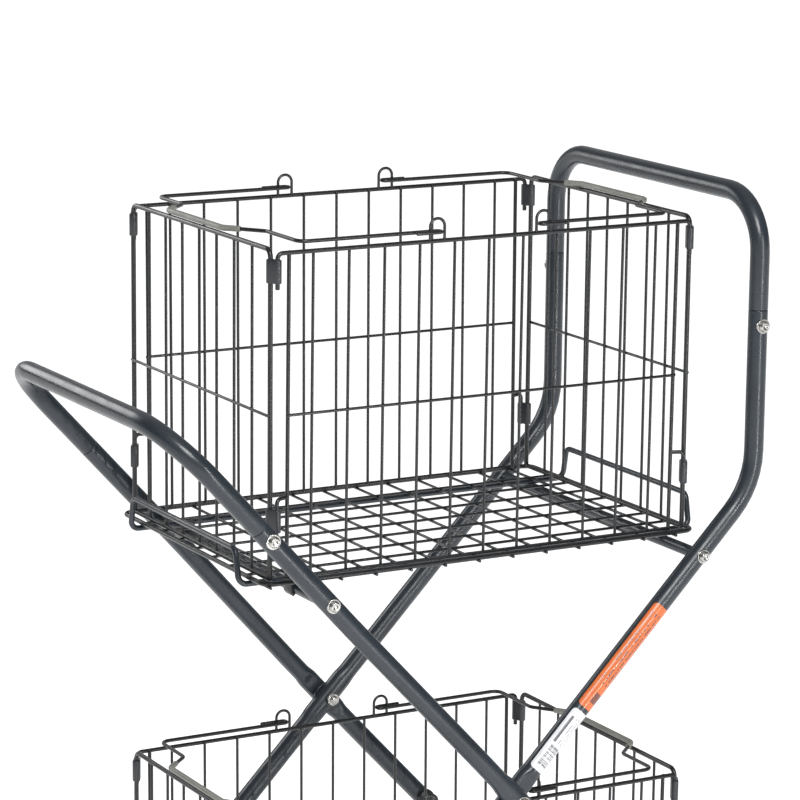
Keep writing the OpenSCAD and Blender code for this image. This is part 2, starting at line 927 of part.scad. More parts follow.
module wheel_core() {
    color(wheel_grey)
        translate([trail, 0, wheel_r])
            rotate([90, 0, 0])
                rotate_extrude()
                    polygon([
                        [axle_d / 2 + shaft_gap, -hub_half], [11, -hub_half], [13, -4],
                        [core_r - 6, -4], [core_r - 4, -wheel_w / 2 + 1], [core_r - shaft_gap, -wheel_w / 2 + 1],
                        [core_r - shaft_gap, wheel_w / 2 - 1], [core_r - 4, wheel_w / 2 - 1],
                        [core_r - 6, 4], [13, 4], [11, hub_half], [axle_d / 2 + shaft_gap, hub_half]
                    ]);
}

module tyre() {
    edge = 2.5;
    color(tyre_grey)
        translate([trail, 0, wheel_r])
            rotate([90, 0, 0])
                rotate_extrude() {
                    translate([core_r, -wheel_w / 2])
                        square([wheel_r - edge - core_r, wheel_w]);
                    translate([core_r, -wheel_w / 2 + edge])
                        square([wheel_r - core_r, wheel_w - 2 * edge]);
                    for (side = [-1, 1])
                        translate([wheel_r - edge, side * (wheel_w / 2 - edge)])
                            circle(r = edge);
                }
}

// Foot lever that turns a lobe onto the tyre
module brake_lever() {
    lobe_at = 45;
    color(black)
        translate([brake_x, 0, brake_z]) {
            across(0, -hub_half, 0, 10, 2 * hub_half);
            across(0, -cheek_y - cheek_t - 1, 0, brake_pin_d, 2 * (cheek_y + cheek_t + 1));
            across(4 * cos(lobe_at), -9, -4 * sin(lobe_at), 5, 18);
            translate([0, -hub_half, 0.5])
                cube([36, 2 * hub_half, 4.5]);
            translate([36, 0, 0.5])
                cylinder(r = hub_half, h = 4.5);
        }
}

module at_castor(x, y) {
    translate([x, y, 0])
        children();
}

module fork_a_front() { at_castor(foot_a_x, -frame_y) fork(false); }
module fork_a_back() { at_castor(foot_a_x, frame_y) fork(false); }
module fork_b_front() { at_castor(foot_b_x, -frame_y) fork(true); }
module fork_b_back() { at_castor(foot_b_x, frame_y) fork(true); }
module axle_a_front() { at_castor(foot_a_x, -frame_y) axle(); }
module axle_a_back() { at_castor(foot_a_x, frame_y) axle(); }
module axle_b_front() { at_castor(foot_b_x, -frame_y) axle(); }
module axle_b_back() { at_castor(foot_b_x, frame_y) axle(); }
module wheel_a_front() { at_castor(foot_a_x, -frame_y) wheel_core(); }
module wheel_a_back() { at_castor(foot_a_x, frame_y) wheel_core(); }
module wheel_b_front() { at_castor(foot_b_x, -frame_y) wheel_core(); }
module wheel_b_back() { at_castor(foot_b_x, frame_y) wheel_core(); }
module tyre_a_front() { at_castor(foot_a_x, -frame_y) tyre(); }
module tyre_a_back() { at_castor(foot_a_x, frame_y) tyre(); }
module tyre_b_front() { at_castor(foot_b_x, -frame_y) tyre(); }
module tyre_b_back() { at_castor(foot_b_x, frame_y) tyre(); }
module brake_lever_front() { at_castor(foot_b_x, -frame_y) brake_lever(); }
module brake_lever_back() { at_castor(foot_b_x, frame_y) brake_lever(); }

leg_a_front();
leg_a_back();
handle_a();
cross_tube_a_upper();
cross_tube_a_lower();
handle_bolts_a();
cross_bolts_a();
pivot_bolts();
pivot_spacers();
leg_bumpers();
castor_sockets_a();
leg_b_front();
leg_b_back();
handle_b();
cross_tube_b_upper();
cross_tube_b_lower();
handle_bolts_b();
cross_bolts_b();
castor_sockets_b();
orange_label();
white_label();
upper_carrier();
upper_carrier_clips();
upper_base_grid();
upper_left_end();
upper_right_end();
upper_front_panel();
upper_back_panel();
upper_sleeves();
upper_bail_left();
upper_bail_right();
lower_carrier();
lower_carrier_clips();
lower_base_grid();
lower_left_end();
lower_right_end();
lower_front_panel();
lower_back_panel();
lower_sleeves();
lower_bail_left();
lower_bail_right();
fork_a_front();
fork_a_back();
fork_b_front();
fork_b_back();
axle_a_front();
axle_a_back();
axle_b_front();
axle_b_back();
wheel_a_front();
wheel_a_back();
wheel_b_front();
wheel_b_back();
tyre_a_front();
tyre_a_back();
tyre_b_front();
tyre_b_back();
brake_lever_front();
brake_lever_back();
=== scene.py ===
"""Looks of the rolling basket trolley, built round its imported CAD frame. Lengths are in millimetres."""
import json
import math

import bmesh
import bpy
from mathutils import Matrix, Quaternion, Vector


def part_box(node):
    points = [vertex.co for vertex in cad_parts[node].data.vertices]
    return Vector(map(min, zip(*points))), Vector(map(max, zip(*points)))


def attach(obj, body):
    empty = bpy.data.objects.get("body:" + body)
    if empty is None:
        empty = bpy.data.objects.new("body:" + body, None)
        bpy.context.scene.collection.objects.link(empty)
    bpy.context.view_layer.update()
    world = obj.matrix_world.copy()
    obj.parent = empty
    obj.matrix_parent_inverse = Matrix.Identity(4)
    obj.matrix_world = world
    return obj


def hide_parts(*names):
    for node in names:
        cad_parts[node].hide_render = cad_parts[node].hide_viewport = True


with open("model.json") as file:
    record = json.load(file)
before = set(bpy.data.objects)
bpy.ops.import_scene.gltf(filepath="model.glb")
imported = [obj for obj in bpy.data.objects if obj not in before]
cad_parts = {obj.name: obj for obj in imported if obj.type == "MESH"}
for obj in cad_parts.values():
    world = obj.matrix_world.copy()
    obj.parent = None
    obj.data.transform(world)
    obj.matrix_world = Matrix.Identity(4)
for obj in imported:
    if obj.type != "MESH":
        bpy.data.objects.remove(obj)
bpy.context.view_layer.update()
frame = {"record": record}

MM = 0.001
BODY_OF = {
    node: body
    for body, nodes in frame["record"]["behaviour"]["bodies"].items()
    for node in nodes
}

# Diameters of the tubes and wires
TUBE = 20.0
CROSS_TUBE = 12.0
POST = 5.0
RIM = 4.4
THICK_END = 4.0
THIN = 3.0
BAIL = 4.0
GRIP = 6.0
CARRIER = 6.0

# Numbers of sides of a round section, and the turn between two rings of a bend
TUBE_SIDES = 48
WIRE_SIDES = 14
BEND_STEP = math.radians(7.5)
SHARP_ANGLE = math.radians(38)

# Share of two crossing wires' radii that is left between their axes where they are welded
WELD = 0.7


# ---- Places, read from the frame


def low(node):
    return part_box(node)[0] / MM


def high(node):
    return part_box(node)[1] / MM


def middle(node):
    return (low(node) + high(node)) / 2


FLANGE_R = TUBE / 2 + 1
PIVOT = middle("pivot_spacers")
FACE_A = high("pivot_spacers").y
FACE_B = FACE_A - 1.5
PRESS_DEPTH = 7.25
PIVOT_Y = {"a": FACE_A + PRESS_DEPTH, "b": FACE_B - PRESS_DEPTH}
LEG_Y = {"a": high("castor_sockets_a").y - FLANGE_R, "b": high("castor_sockets_b").y - FLANGE_R}
FOOT_X = {"a": middle("castor_sockets_a").x, "b": middle("castor_sockets_b").x}
FOOT_Z = 100.0
UPPER_TUBE = {"a": middle("cross_tube_a_upper"), "b": middle("cross_tube_b_upper")}
LOWER_TUBE = {"a": middle("cross_tube_a_lower"), "b": middle("cross_tube_b_lower")}
SLOPE = {
    "a": math.atan2(UPPER_TUBE["a"].z - PIVOT.z, PIVOT.x - UPPER_TUBE["a"].x),
    "b": math.atan2(UPPER_TUBE["b"].z - PIVOT.z, UPPER_TUBE["b"].x - PIVOT.x),
}
LEAN = {"a": -1, "b": 1}
HANDLE_BOLT = {"a": middle("handle_bolts_a"), "b": middle("handle_bolts_b")}
BOLT_INSET = 16.0
ARM_B_X = HANDLE_BOLT["b"].x
SEAM_B_Z = HANDLE_BOLT["b"].z + BOLT_INSET
BAR_B_Z = high("handle_b").z - TUBE / 2
BAR_A_X = low("handle_a").x + TUBE / 2
SEAM_A_R = (PIVOT.x - HANDLE_BOLT["a"].x) / math.cos(SLOPE["a"]) + BOLT_INSET

POST_X = low("upper_right_end").x + POST / 2
POST_Y = high("upper_right_end").y - POST / 2
RIM_Z = {"upper": high("upper_left_end").z - POST / 2, "lower": high("lower_left_end").z - POST / 2}
BASKET_H = RIM_Z["upper"] - low("upper_left_end").z - POST / 2
SIDE_Y = high("upper_back_panel").y - RIM / 2


def on_leg(which, r, y):
    """Point on a slanted leg's axis, r above the pivot along the tube."""
    a = SLOPE[which]
    return Vector((PIVOT.x + LEAN[which] * r * math.cos(a), y, PIVOT.z + r * math.sin(a)))


def ankle(which, y):
    drop = abs(FOOT_X[which] - PIVOT.x) * math.tan(SLOPE[which])
    return Vector((FOOT_X[which], y, PIVOT.z - drop))


# ---- Mesh code


class Shape:
    """Closed shells that together make one piece."""

    def __init__(self):
        self.points = []
        self.faces = []
        self.prints = {}

    def rings(self, rings, closed=False):
        """Joins rings of equal length into a skin, and closes its two ends."""
        n = len(rings[0])
        start = len(self.points)
        for ring in rings:
            self.points.extend(ring)
        count = len(rings)
        for i in range(count if closed else count - 1):
            a = start + i * n
            b = start + (i + 1) % count * n
            for k in range(n):
                m = (k + 1) % n
                self.faces.append((a + k, a + m, b + m, b + k))
        if not closed:
            self.cap(start, n, True)
            self.cap(start + (count - 1) * n, n, False)
        return self

    def cap(self, start, n, reverse):
        centre = sum((self.points[start + k] for k in range(n)), Vector()) / n
        self.points.append(centre)
        hub = len(self.points) - 1
        for k in range(n):
            m = (k + 1) % n
            self.faces.append((start + m, start + k, hub) if reverse else (start + k, start + m, hub))

    def add(self, other, place=Matrix()):
        start = len(self.points)
        self.points.extend(place @ p for p in other.points)
        self.faces.extend(tuple(start + i for i in f) for f in other.faces)
        return self

    def mirrored(self):
        """The same piece on the other side of the middle plane."""
        other = Shape()
        other.points = [Vector((p.x, -p.y, p.z)) for p in self.points]
        other.faces = [tuple(reversed(f)) for f in self.faces]
        other.prints = dict(self.prints)
        return other

    def both(self):
        """The piece together with its mirror image."""
        return Shape().add(self).add(self.mirrored())


def bent(points, bends, closed=False):
    """Points of a path whose corners are arcs. A bend of 0 only passes through its point."""
    points = [Vector(p) for p in points]
    count = len(points)
    corners = range(count) if closed else range(1, count - 1)
    if not isinstance(bends, (list, tuple)):
        bends = [bends] * len(corners)
    path = [] if closed else [points[0]]
    for i, radius in zip(corners, bends):
        before, here, after = points[i - 1], points[i], points[(i + 1) % count]
        u = (here - before).normalized()
        v = (after - here).normalized()
        turn = u.angle(v)
        if radius == 0 or turn < 1e-4:
            path.append(here)
            continue
        inward = (v - u.dot(v) * u).normalized()
        first = here - u * radius * math.tan(turn / 2)
        centre = first + inward * radius
        steps = max(2, round(turn / BEND_STEP))
        for k in range(steps + 1):
            t = turn * k / steps
            path.append(centre - inward * radius * math.cos(t) + u * radius * math.sin(t))
    if not closed:
        path.append(points[-1])
    return path


def softened(outline, radius):
    """Closed flat outline of (x, y) pairs with rounded corners."""
    return [(p.x, p.y) for p in bent([(x, y, 0) for x, y in outline], radius, closed=True)]


def stations(path, edge):
    """(point, direction, loss of radius) along an open path whose ends have rounded edges."""
    steps = 4
    first = (path[1] - path[0]).normalized()
    last = (path[-1] - path[-2]).normalized()
    made = []
    for k in range(steps + 1):
        a = math.pi / 2 * k / steps
        made.append((path[0] + first * edge * (1 - math.cos(a)), first, edge * (1 - math.sin(a))))
    for before, here, after in zip(path, path[1:], path[2:]):
        made.append((here, ((here - before).normalized() + (after - here).normalized()).normalized(), 0))
    for k in range(steps, -1, -1):
        a = math.pi / 2 * k / steps
        made.append((path[-1] - last * edge * (1 - math.cos(a)), last, edge * (1 - math.sin(a))))
    return made


def loop_stations(path):
    count = len(path)
    made = []
    for i in range(count):
        before, here, after = path[i - 1], path[i], path[(i + 1) % count]
        made.append((here, ((here - before).normalized() + (after - here).normalized()).normalized(), 0))
    return made


def sweep(path, d, sides=WIRE_SIDES, edge=0.5, closed=False, up=(0, 0, 1), form=None):
    """Round bar along a path.

    form changes a point's section coordinates, of which the first lies along up.
    """
    places = loop_stations(path) if closed else stations(path, edge)
    tangent = places[0][1]
    normal = Vector(up)
    if abs(normal.dot(tangent)) > 0.9 * normal.length:
        normal = Vector((1, 0, 0)) if abs(tangent.x) < 0.9 else Vector((0, 1, 0))
    normal = (normal - normal.dot(tangent) * tangent).normalized()
    rings = []
    for point, direction, loss in places:
        normal = tangent.rotation_difference(direction) @ normal
        tangent = direction
        side = tangent.cross(normal)
        ring = []
        for k in range(sides):
            a = math.tau * k / sides
            x = (d / 2 - loss) * math.cos(a)
            y = (d / 2 - loss) * math.sin(a)
            if form:
                x, y = form(point, x, y)
            ring.append(point + x * normal + y * side)
        rings.append(ring)
    return Shape().rings(rings, closed)


def rod(a, b, d, sides=WIRE_SIDES, edge=0.5):
    return sweep([Vector(a), Vector(b)], d, sides, edge)


def bead(centre, size):
    """Small flattened ball, as a weld leaves between two wires."""
    around, rows = 10, 5
    x, y, z = size
    rings = []
    for j in range(1, rows):
        t = math.pi * j / rows
        ring = [
            Vector(centre) + Vector((
                x * math.sin(t) * math.cos(math.tau * k / around),
                y * math.sin(t) * math.sin(math.tau * k / around),
                z * math.cos(t),
            ))
            for k in range(around)
        ]
        rings.append(ring)
    return Shape().rings(rings)


def hexed(r, angle, across):
    """Radius at an angle on a hexagon that is across wide over its flats, never over r."""
    a = (angle + math.pi / 6) % (math.pi / 3) - math.pi / 6
    return min(r, across / 2 / math.cos(a))


def lathe(profile, place=Matrix(), sides=40):
    """Turned shape round local Z from (radius, height) points. A third number makes a ring a hexagon."""
    rings = []
    for row in profile:
        r, z = row[0], row[1]
        ring = []
        for k in range(sides):
            a = math.tau * k / sides
            radius = hexed(r, a, row[2]) if len(row) > 2 else r
            ring.append(Vector((radius * math.cos(a), radius * math.sin(a), z)))
        rings.append(ring)
    return Shape().add(Shape().rings(rings), place)


def ring_lathe(profile, place=Matrix(), sides=48):
    """Turned ring round local Z from a closed (radius, height) outline."""
    rings = []
    for k in range(sides):
        a = math.tau * k / sides
        rings.append([Vector((r * math.cos(a), r * math.sin(a), z)) for r, z in profile])
    return Shape().add(Shape().rings(rings, closed=True), place)


def turned(profile, radius, place=Matrix(), sides=40):
    """lathe() with its corners rounded."""
    path = bent([(r, 0, z) for r, z in profile], radius)
    return lathe([(max(p.x, 0.01), p.z) for p in path], place, sides)


def plate(outline, thickness, place=Matrix(), edge=0.4):
    """Flat piece from a closed outline in local X and Y, centred on local Z, with rounded edges."""
    count = len(outline)
    normals = []
    area = sum(
        outline[i - 1][0] * outline[i][1] - outline[i][0] * outline[i - 1][1] for i in range(count)
    )
    for i in range(count):
        before, after = outline[i - 1], outline[(i + 1) % count]
        n = Vector((after[1] - before[1], before[0] - after[0])).normalized()
        normals.append(n if area > 0 else -n)
    rings = []
    for side in (-1, 1):
        steps = [0, 1, 2, 3] if side < 0 else [3, 2, 1, 0]
        for k in steps:
            a = math.pi / 2 * k / 3
            inset = edge * (1 - math.sin(a))
            z = side * (thickness / 2 - edge * (1 - math.cos(a)))
            rings.append([
                Vector((outline[i][0] - normals[i].x * inset, outline[i][1] - normals[i].y * inset, z))
                for i in range(count)
            ])
    return Shape().add(Shape().rings(rings), place)


def facing(direction, at):
    """Matrix that turns local Z to a direction and moves the origin to a point."""
    turn = Vector((0, 0, 1)).rotation_difference(Vector(direction))
    return Matrix.Translation(Vector(at)) @ turn.to_matrix().to_4x4()


def arc(centre, radius, start, end, steps):
    """Points of an arc in degrees, in a flat outline."""
    return [
        (
            centre[0] + radius * math.cos(math.radians(start + (end - start) * k / steps)),
            centre[1] + radius * math.sin(math.radians(start + (end - start) * k / steps)),
        )
        for k in range(steps + 1)
    ]


# ---- Materials


class Finish:
    """A node material round one Principled shader, with its record slot."""

    def __init__(self, name, slot, **values):
        self.slot = slot
        self.material = bpy.data.materials.new(name)
        self.material.use_nodes = True
        self.tree = self.material.node_tree
        self.shader = self.tree.nodes["Principled BSDF"]
        for key, value in values.items():
            self.shader.inputs[key.replace("_", " ").title().replace("Ior", "IOR")].default_value = value
        self.place = self.tree.nodes.new("ShaderNodeTexCoord").outputs["Object"]

    def node(self, kind, inputs=None, **settings):
        made = self.tree.nodes.new("ShaderNode" + kind)
        for key, value in settings.items():
            setattr(made, key, value)
        for key, value in (inputs or {}).items():
            if isinstance(value, bpy.types.NodeSocket):
                self.tree.links.new(value, made.inputs[key])
            else:
                made.inputs[key].default_value = value
        return made

    def noise(self, size, detail=3.0, roughness=0.5, stretch=None):
        """Noise whose features are about size millimetres wide."""
        place = self.place
        if stretch:
            place = self.node("Mapping", {"Vector": place, "Scale": stretch}).outputs["Vector"]
        scale = {"Vector": place, "Scale": 1 / (size * MM), "Detail": detail, "Roughness": roughness}
        return self.node("TexNoise", scale).outputs["Fac"]

    def ramp(self, value, start, end, dark, light):
        made = self.node("ValToRGB", {"Fac": value})
        made.color_ramp.elements[0].position = start
        made.color_ramp.elements[1].position = end
        made.color_ramp.elements[0].color = (*dark, 1)
        made.color_ramp.elements[1].color = (*light, 1)
        return made.outputs["Color"]

    def span(self, value, low_to, high_to, low_from=0.3, high_from=0.7):
        made = self.node("MapRange", {"Value": value, "From Min": low_from, "From Max": high_from,
                                      "To Min": low_to, "To Max": high_to})
        return made.outputs["Result"]

    def math(self, operation, a, b=0.0):
        return self.node("Math", {0: a, 1: b}, operation=operation).outputs[0]

    def mix(self, amount, a, b):
        made = self.node("Mix", data_type="RGBA")
        for socket, value in ((0, amount), (6, a), (7, b)):
            if isinstance(value, bpy.types.NodeSocket):
                self.tree.links.new(value, made.inputs[socket])
            else:
                made.inputs[socket].default_value = value if socket == 0 else (*value, 1)
        return made.outputs[2]

    def bump(self, height, depth, strength=1.0):
        """Bump of a height pattern that is depth millimetres deep."""
        made = self.node("Bump", {"Height": height, "Distance": depth * MM, "Strength": strength})
        self.tree.links.new(made.outputs["Normal"], self.shader.inputs["Normal"])

    def into(self, socket, value):
        self.tree.links.new(value, self.shader.inputs[socket])


def coated(name, slot, dark, light, rough, peel=1.3, depth=0.03, wear=0.4):
    """Sprayed and baked coating with orange peel, faint mottling and a few rubbed spots."""
    f = Finish(name, slot, specular_ior_level=0.5)
    base = f.ramp(f.noise(60, 4), 0.35, 0.68, dark, light)
    rubbed = tuple(c * 2.2 + 0.01 for c in light)
    spots = f.span(f.noise(7, 6, 0.65), 0, wear, 0.68, 0.8)
    f.into("Base Color", f.mix(spots, base, rubbed))
    f.into("Roughness", f.span(f.noise(18, 3), rough - 0.05, rough + 0.07))
    f.bump(f.math("ADD", f.noise(peel, 2), f.math("MULTIPLY", f.noise(peel * 6, 2), 0.6)), depth)
    return f


def zinc_plate(name, slot, tint, rough):
    """Bright plated steel with a faint brushed grain and cloudy plating."""
    f = Finish(name, slot, metallic=1.0)
    dull = tuple(c * 0.72 for c in tint)
    f.into("Base Color", f.ramp(f.noise(5, 5, 0.6), 0.3, 0.7, dull, tint))
    f.into("Roughness", f.span(f.noise(1.5, 4), rough - 0.06, rough + 0.12))
    f.bump(f.noise(1.2, 2, stretch=(1, 6, 1)), 0.004)
    return f


def moulded(name, slot, dark, light, rough, grain=0.7, depth=0.02):
    """Moulded plastic or rubber with a fine spark-eroded grain and slight scuffs."""
    f = Finish(name, slot, specular_ior_level=0.45)
    base = f.ramp(f.noise(25, 4), 0.3, 0.7, dark, light)
    dust = tuple(min(1, c * 1.5 + 0.03) for c in light)
    f.into("Base Color", f.mix(f.span(f.noise(3, 6, 0.7), 0, 0.35, 0.58, 0.75), base, dust))
    f.into("Roughness", f.span(f.noise(6, 3), rough - 0.06, rough + 0.08))
    f.bump(f.noise(grain, 3), depth)
    return f


def print_place(f):
    """The place on a film in millimetres: round the tube, and along it."""
    made = f.node("Attribute", attribute_name="print_place")
    parts = f.node("SeparateXYZ", {"Vector": made.outputs["Vector"]})
    return parts.outputs["X"], parts.outputs["Y"]


def between(f, value, start, end):
    """1 where a value lies between two limits, and 0 elsewhere."""
    above = f.math("GREATER_THAN", value, start)
    return f.math("MULTIPLY", above, f.math("LESS_THAN", value, end))


def dashes(f, along, across, pitch, share, length):
    """Rows of short dashes of uneven length, which stand for small print without being any."""
    row = f.math("FRACT", f.math("DIVIDE", across, pitch))
    inked = f.math("LESS_THAN", row, share)
    line = f.math("FLOOR", f.math("DIVIDE", across, pitch))
    cell = f.node("CombineXYZ", {"X": f.math("DIVIDE", along, length), "Y": f.math("MULTIPLY", line, 7.3)})
    rough = f.node("TexNoise", {"Vector": cell.outputs["Vector"], "Scale": 1.0, "Detail": 2.0})
    gaps = f.math("GREATER_THAN", rough.outputs["Fac"], 0.47)
    return f.math("MULTIPLY", inked, gaps)


def film(name, slot, paper, ink, marks):
    """Printed sticker under a thin clear film."""
    f = Finish(name, slot, specular_ior_level=0.5, coat_weight=0.6, coat_roughness=0.1)
    worn = tuple(c * 0.86 for c in paper)
    base = f.ramp(f.noise(9, 4), 0.3, 0.7, worn, paper)
    around, along = print_place(f)
    f.into("Base Color", f.mix(f.math("MULTIPLY", marks(f, around, along), 0.88), base, ink))
    f.into("Roughness", f.span(f.noise(4, 3), 0.34, 0.46))
    f.bump(f.noise(2.5, 2), 0.02)
    return f


def orange_marks(f, around, along):
    """A plain block at the lower end and lines of dashes above it."""
    inside = between(f, around, -12.0, 10.5)
    block = f.math("MULTIPLY", between(f, along, 8.0, 20.0), between(f, around, -5.0, 5.0))
    lines = f.math("MULTIPLY", between(f, along, 30.0, 121.0), inside)
    small = f.math("MULTIPLY", lines, dashes(f, along, around, 4.5, 0.38, 3.2))
    return f.math("MAXIMUM", block, small)


def white_marks(f, around, along):
    """A dark strip beside faint lines, and plain bars across the lower end."""
    strip = f.math("MULTIPLY", between(f, along, 34.0, 66.0), between(f, around, 7.5, 10.5))
    lines = f.math("MULTIPLY", between(f, along, 34.0, 68.0), between(f, around, -12.0, 6.0))
    small = f.math("MULTIPLY", f.math("MULTIPLY", lines, dashes(f, along, around, 3.4, 0.34, 2.6)), 0.75)
    field = f.math("MULTIPLY", between(f, along, 6.0, 30.0), between(f, around, -3.0, 9.0))
    cell = f.node("CombineXYZ", {"X": f.math("MULTIPLY", along, 1.1)})
    bars = f.node("TexNoise", {"Vector": cell.outputs["Vector"], "Scale": 1.0, "Detail": 1.0})
    barred = f.math("MULTIPLY", field, f.math("GREATER_THAN", bars.outputs["Fac"], 0.5))
    return f.math("MAXIMUM", f.math("MAXIMUM", strip, small), barred)


WIRE_BLACK = ((0.007, 0.0075, 0.0085), (0.0105, 0.0115, 0.0125))
WIRE_SPRAY = {"rough": 0.3, "peel": 3.5, "depth": 0.006, "wear": 0.1}
PLASTIC_BLACK = ((0.011, 0.011, 0.012), (0.02, 0.02, 0.021))
PLASTIC_GREY = ((0.30, 0.31, 0.32), (0.38, 0.39, 0.40))
RUBBER = ((0.035, 0.035, 0.037), (0.06, 0.06, 0.062))
FRAME_COAT = coated("frame_coat", "frame_tube", (0.017, 0.0225, 0.0285), (0.0225, 0.0295, 0.037), 0.27)
WIRE_COAT = coated("wire_coat", "basket_wire", *WIRE_BLACK, **WIRE_SPRAY)
SHEET_COAT = coated("sheet_coat", "basket_wire", (0.017, 0.019, 0.022), (0.026, 0.029, 0.033), 0.3, 0.9)
BAIL_COAT = coated("bail_coat", "bail_wire", *WIRE_BLACK, **WIRE_SPRAY)
GRIP_VINYL = moulded("grip_vinyl", "bail_wire", (0.165, 0.168, 0.145), (0.23, 0.235, 0.205), 0.44)
BOLT_ZINC = zinc_plate("bolt_zinc", "zinc", (0.50, 0.49, 0.47), 0.2)
CASTOR_ZINC = zinc_plate("castor_zinc", "zinc", (0.55, 0.58, 0.61), 0.32)
BLACK_PLASTIC = moulded("black_plastic", "black_plastic", *PLASTIC_BLACK, 0.42)
WHEEL_PLASTIC = moulded("wheel_plastic", "wheel_plastic", *PLASTIC_GREY, 0.46)
TYRE_RUBBER = moulded("tyre_rubber", "tyre_rubber", *RUBBER, 0.66, grain=1.1, depth=0.05)
ORANGE_FILM = film("orange_print", "orange_film", (0.62, 0.125, 0.012), (0.09, 0.02, 0.012), orange_marks)
WHITE_FILM = film("white_print", "white_film", (0.74, 0.75, 0.77), (0.02, 0.02, 0.022), white_marks)


def piece(name, shape, finish, *nodes):
    """Makes a mesh piece that rides on its nodes' body and stands for them."""
    mesh = bpy.data.meshes.new(name)
    mesh.from_pydata([p * MM for p in shape.points], [], shape.faces)
    work = bmesh.new()
    work.from_mesh(mesh)
    bmesh.ops.recalc_face_normals(work, faces=work.faces)
    work.to_mesh(mesh)
    work.free()
    mesh.shade_smooth()
    mesh.set_sharp_from_angle(angle=SHARP_ANGLE)
    mesh.materials.append(finish.material)
    obj = bpy.data.objects.new(name, mesh)
    bpy.context.scene.collection.objects.link(obj)
    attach(obj, BODY_OF[nodes[0]])
    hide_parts(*nodes)
    return obj


# ---- Frame tubes


def pressed(point, x, z):
    """Section of a leg, pressed flat at the pivot on the side that its first coordinate points to."""
    flat_half, run = 24.0, 12.0
    off = math.hypot(point.x - PIVOT.x, point.z - PIVOT.z)
    share = min(1.0, max(0.0, (flat_half + run - off) / run))
    share = share * share * (3 - 2 * share)
    limit = TUBE / 2 + (PRESS_DEPTH - TUBE / 2) * share
    return min(x, limit), z * (1 + 0.13 * share)


PRESS_ZONE = [39 - 3 * k for k in range(27)]
SEAM_EDGE = 1.1
ANKLE_BEND = 45.0
KNEE_BEND = 90.0
BAR_BEND = {"a": 68.0, "b": 57.0}


def leg(points, bends, face, toward):
    """Front leg of a frame, with the pressed flat and the round boss that faces the other frame."""
    path = bent(points, bends)
    tube = sweep(path, TUBE, TUBE_SIDES, SEAM_EDGE, up=(0, toward, 0), form=pressed)
    boss_h, boss_r = 3.5, 13.0
    boss = turned([(0, 0), (boss_r, 0), (boss_r, boss_h), (0, boss_h)], 0.8,
                  facing((0, -toward, 0), (PIVOT.x, -face, PIVOT.z)))
    return tube.add(boss)


def leg_a():
    """Frame A's front leg, which is spread a little where it passes outside frame B's."""
    start, reach, spread_bend = 60, 270, 300
    y = -LEG_Y["a"]
    pivot_y = -PIVOT_Y["a"]
    zone = [on_leg("a", r, pivot_y) for r in PRESS_ZONE]
    points = [on_leg("a", SEAM_A_R, y), on_leg("a", reach, y), on_leg("a", start, pivot_y), *zone]
    points += [on_leg("a", -start, pivot_y), on_leg("a", -reach, y)]
    points += [ankle("a", y), (FOOT_X["a"], y, FOOT_Z)]
    spread = [spread_bend] * 2
    return leg(points, spread + [0] * len(zone) + spread + [ANKLE_BEND], FACE_A, 1)


def leg_b():
    y = -LEG_Y["b"]
    zone = [on_leg("b", r, y) for r in PRESS_ZONE]
    knee = Vector((ARM_B_X, y, PIVOT.z + (ARM_B_X - PIVOT.x) * math.tan(SLOPE["b"])))
    points = [(ARM_B_X, y, SEAM_B_Z), knee, *zone, ankle("b", y), (FOOT_X["b"], y, FOOT_Z)]
    return leg(points, [KNEE_BEND] + [0] * len(zone) + [ANKLE_BEND], FACE_B, -1)


def hand_bar(seam, corner, bar_bend):
    points = [seam, corner, (corner.x, -corner.y, corner.z), (seam.x, -seam.y, seam.z)]
    return sweep(bent(points, bar_bend), TUBE, TUBE_SIDES, SEAM_EDGE)


def handle_a():
    y = -LEG_Y["a"]
    bar_r = (PIVOT.x - BAR_A_X) / math.cos(SLOPE["a"])
    return hand_bar(on_leg("a", SEAM_A_R, y), on_leg("a", bar_r, y), BAR_BEND["a"])


def handle_b():
    y = -LEG_Y["b"]
    seam = Vector((ARM_B_X, y, SEAM_B_Z))
    return hand_bar(seam, Vector((ARM_B_X, y, BAR_B_Z)), BAR_BEND["b"])


def cross_tube(at, which):
    """Cross tube whose ends reach just into the legs."""
    share = 0.72
    reach = LEG_Y[which] - share * TUBE / 2
    return rod((at.x, -reach, at.z), (at.x, reach, at.z), CROSS_TUBE, 32, 0.3)


def make_frame_tubes():
    for which, shape in (("a", leg_a()), ("b", leg_b())):
        piece(f"leg_tube_{which}_front", shape, FRAME_COAT, f"leg_{which}_front")
        piece(f"leg_tube_{which}_back", shape.mirrored(), FRAME_COAT, f"leg_{which}_back")
        for level, at in (("upper", UPPER_TUBE[which]), ("lower", LOWER_TUBE[which])):
            node = f"cross_tube_{which}_{level}"
            piece(f"cross_bar_{which}_{level}", cross_tube(at, which), FRAME_COAT, node)
    piece("hand_bar_a", handle_a(), FRAME_COAT, "handle_a")
    piece("hand_bar_b", handle_b(), FRAME_COAT, "handle_b")


# ---- Fasteners


def bolt_head(place, washer_r, head_r, tall):
    """Washer and domed head with a hexagon socket. Local Z points out of the seat."""
    washer_h = 1.3
    socket = head_r * 0.8
    washer = turned([(0, -1.0), (washer_r, -1.0), (washer_r, washer_h), (0, washer_h)], 0.45, place)
    dome = bent([(head_r * 0.9, 0, 0.5), (head_r * 0.9, 0, washer_h + 0.3), (head_r, 0, washer_h + 0.6),
                 (head_r, 0, washer_h + 1.3), (head_r * 0.72, 0, tall), (socket * 0.62, 0, tall)], 0.5)
    rows = [(p.x, p.z) for p in dome]
    rows += [(socket, tall - 0.25, socket), (socket, tall - 2.2, socket), (socket * 0.2, tall - 2.6)]
    return washer.add(lathe(rows, place, 48))


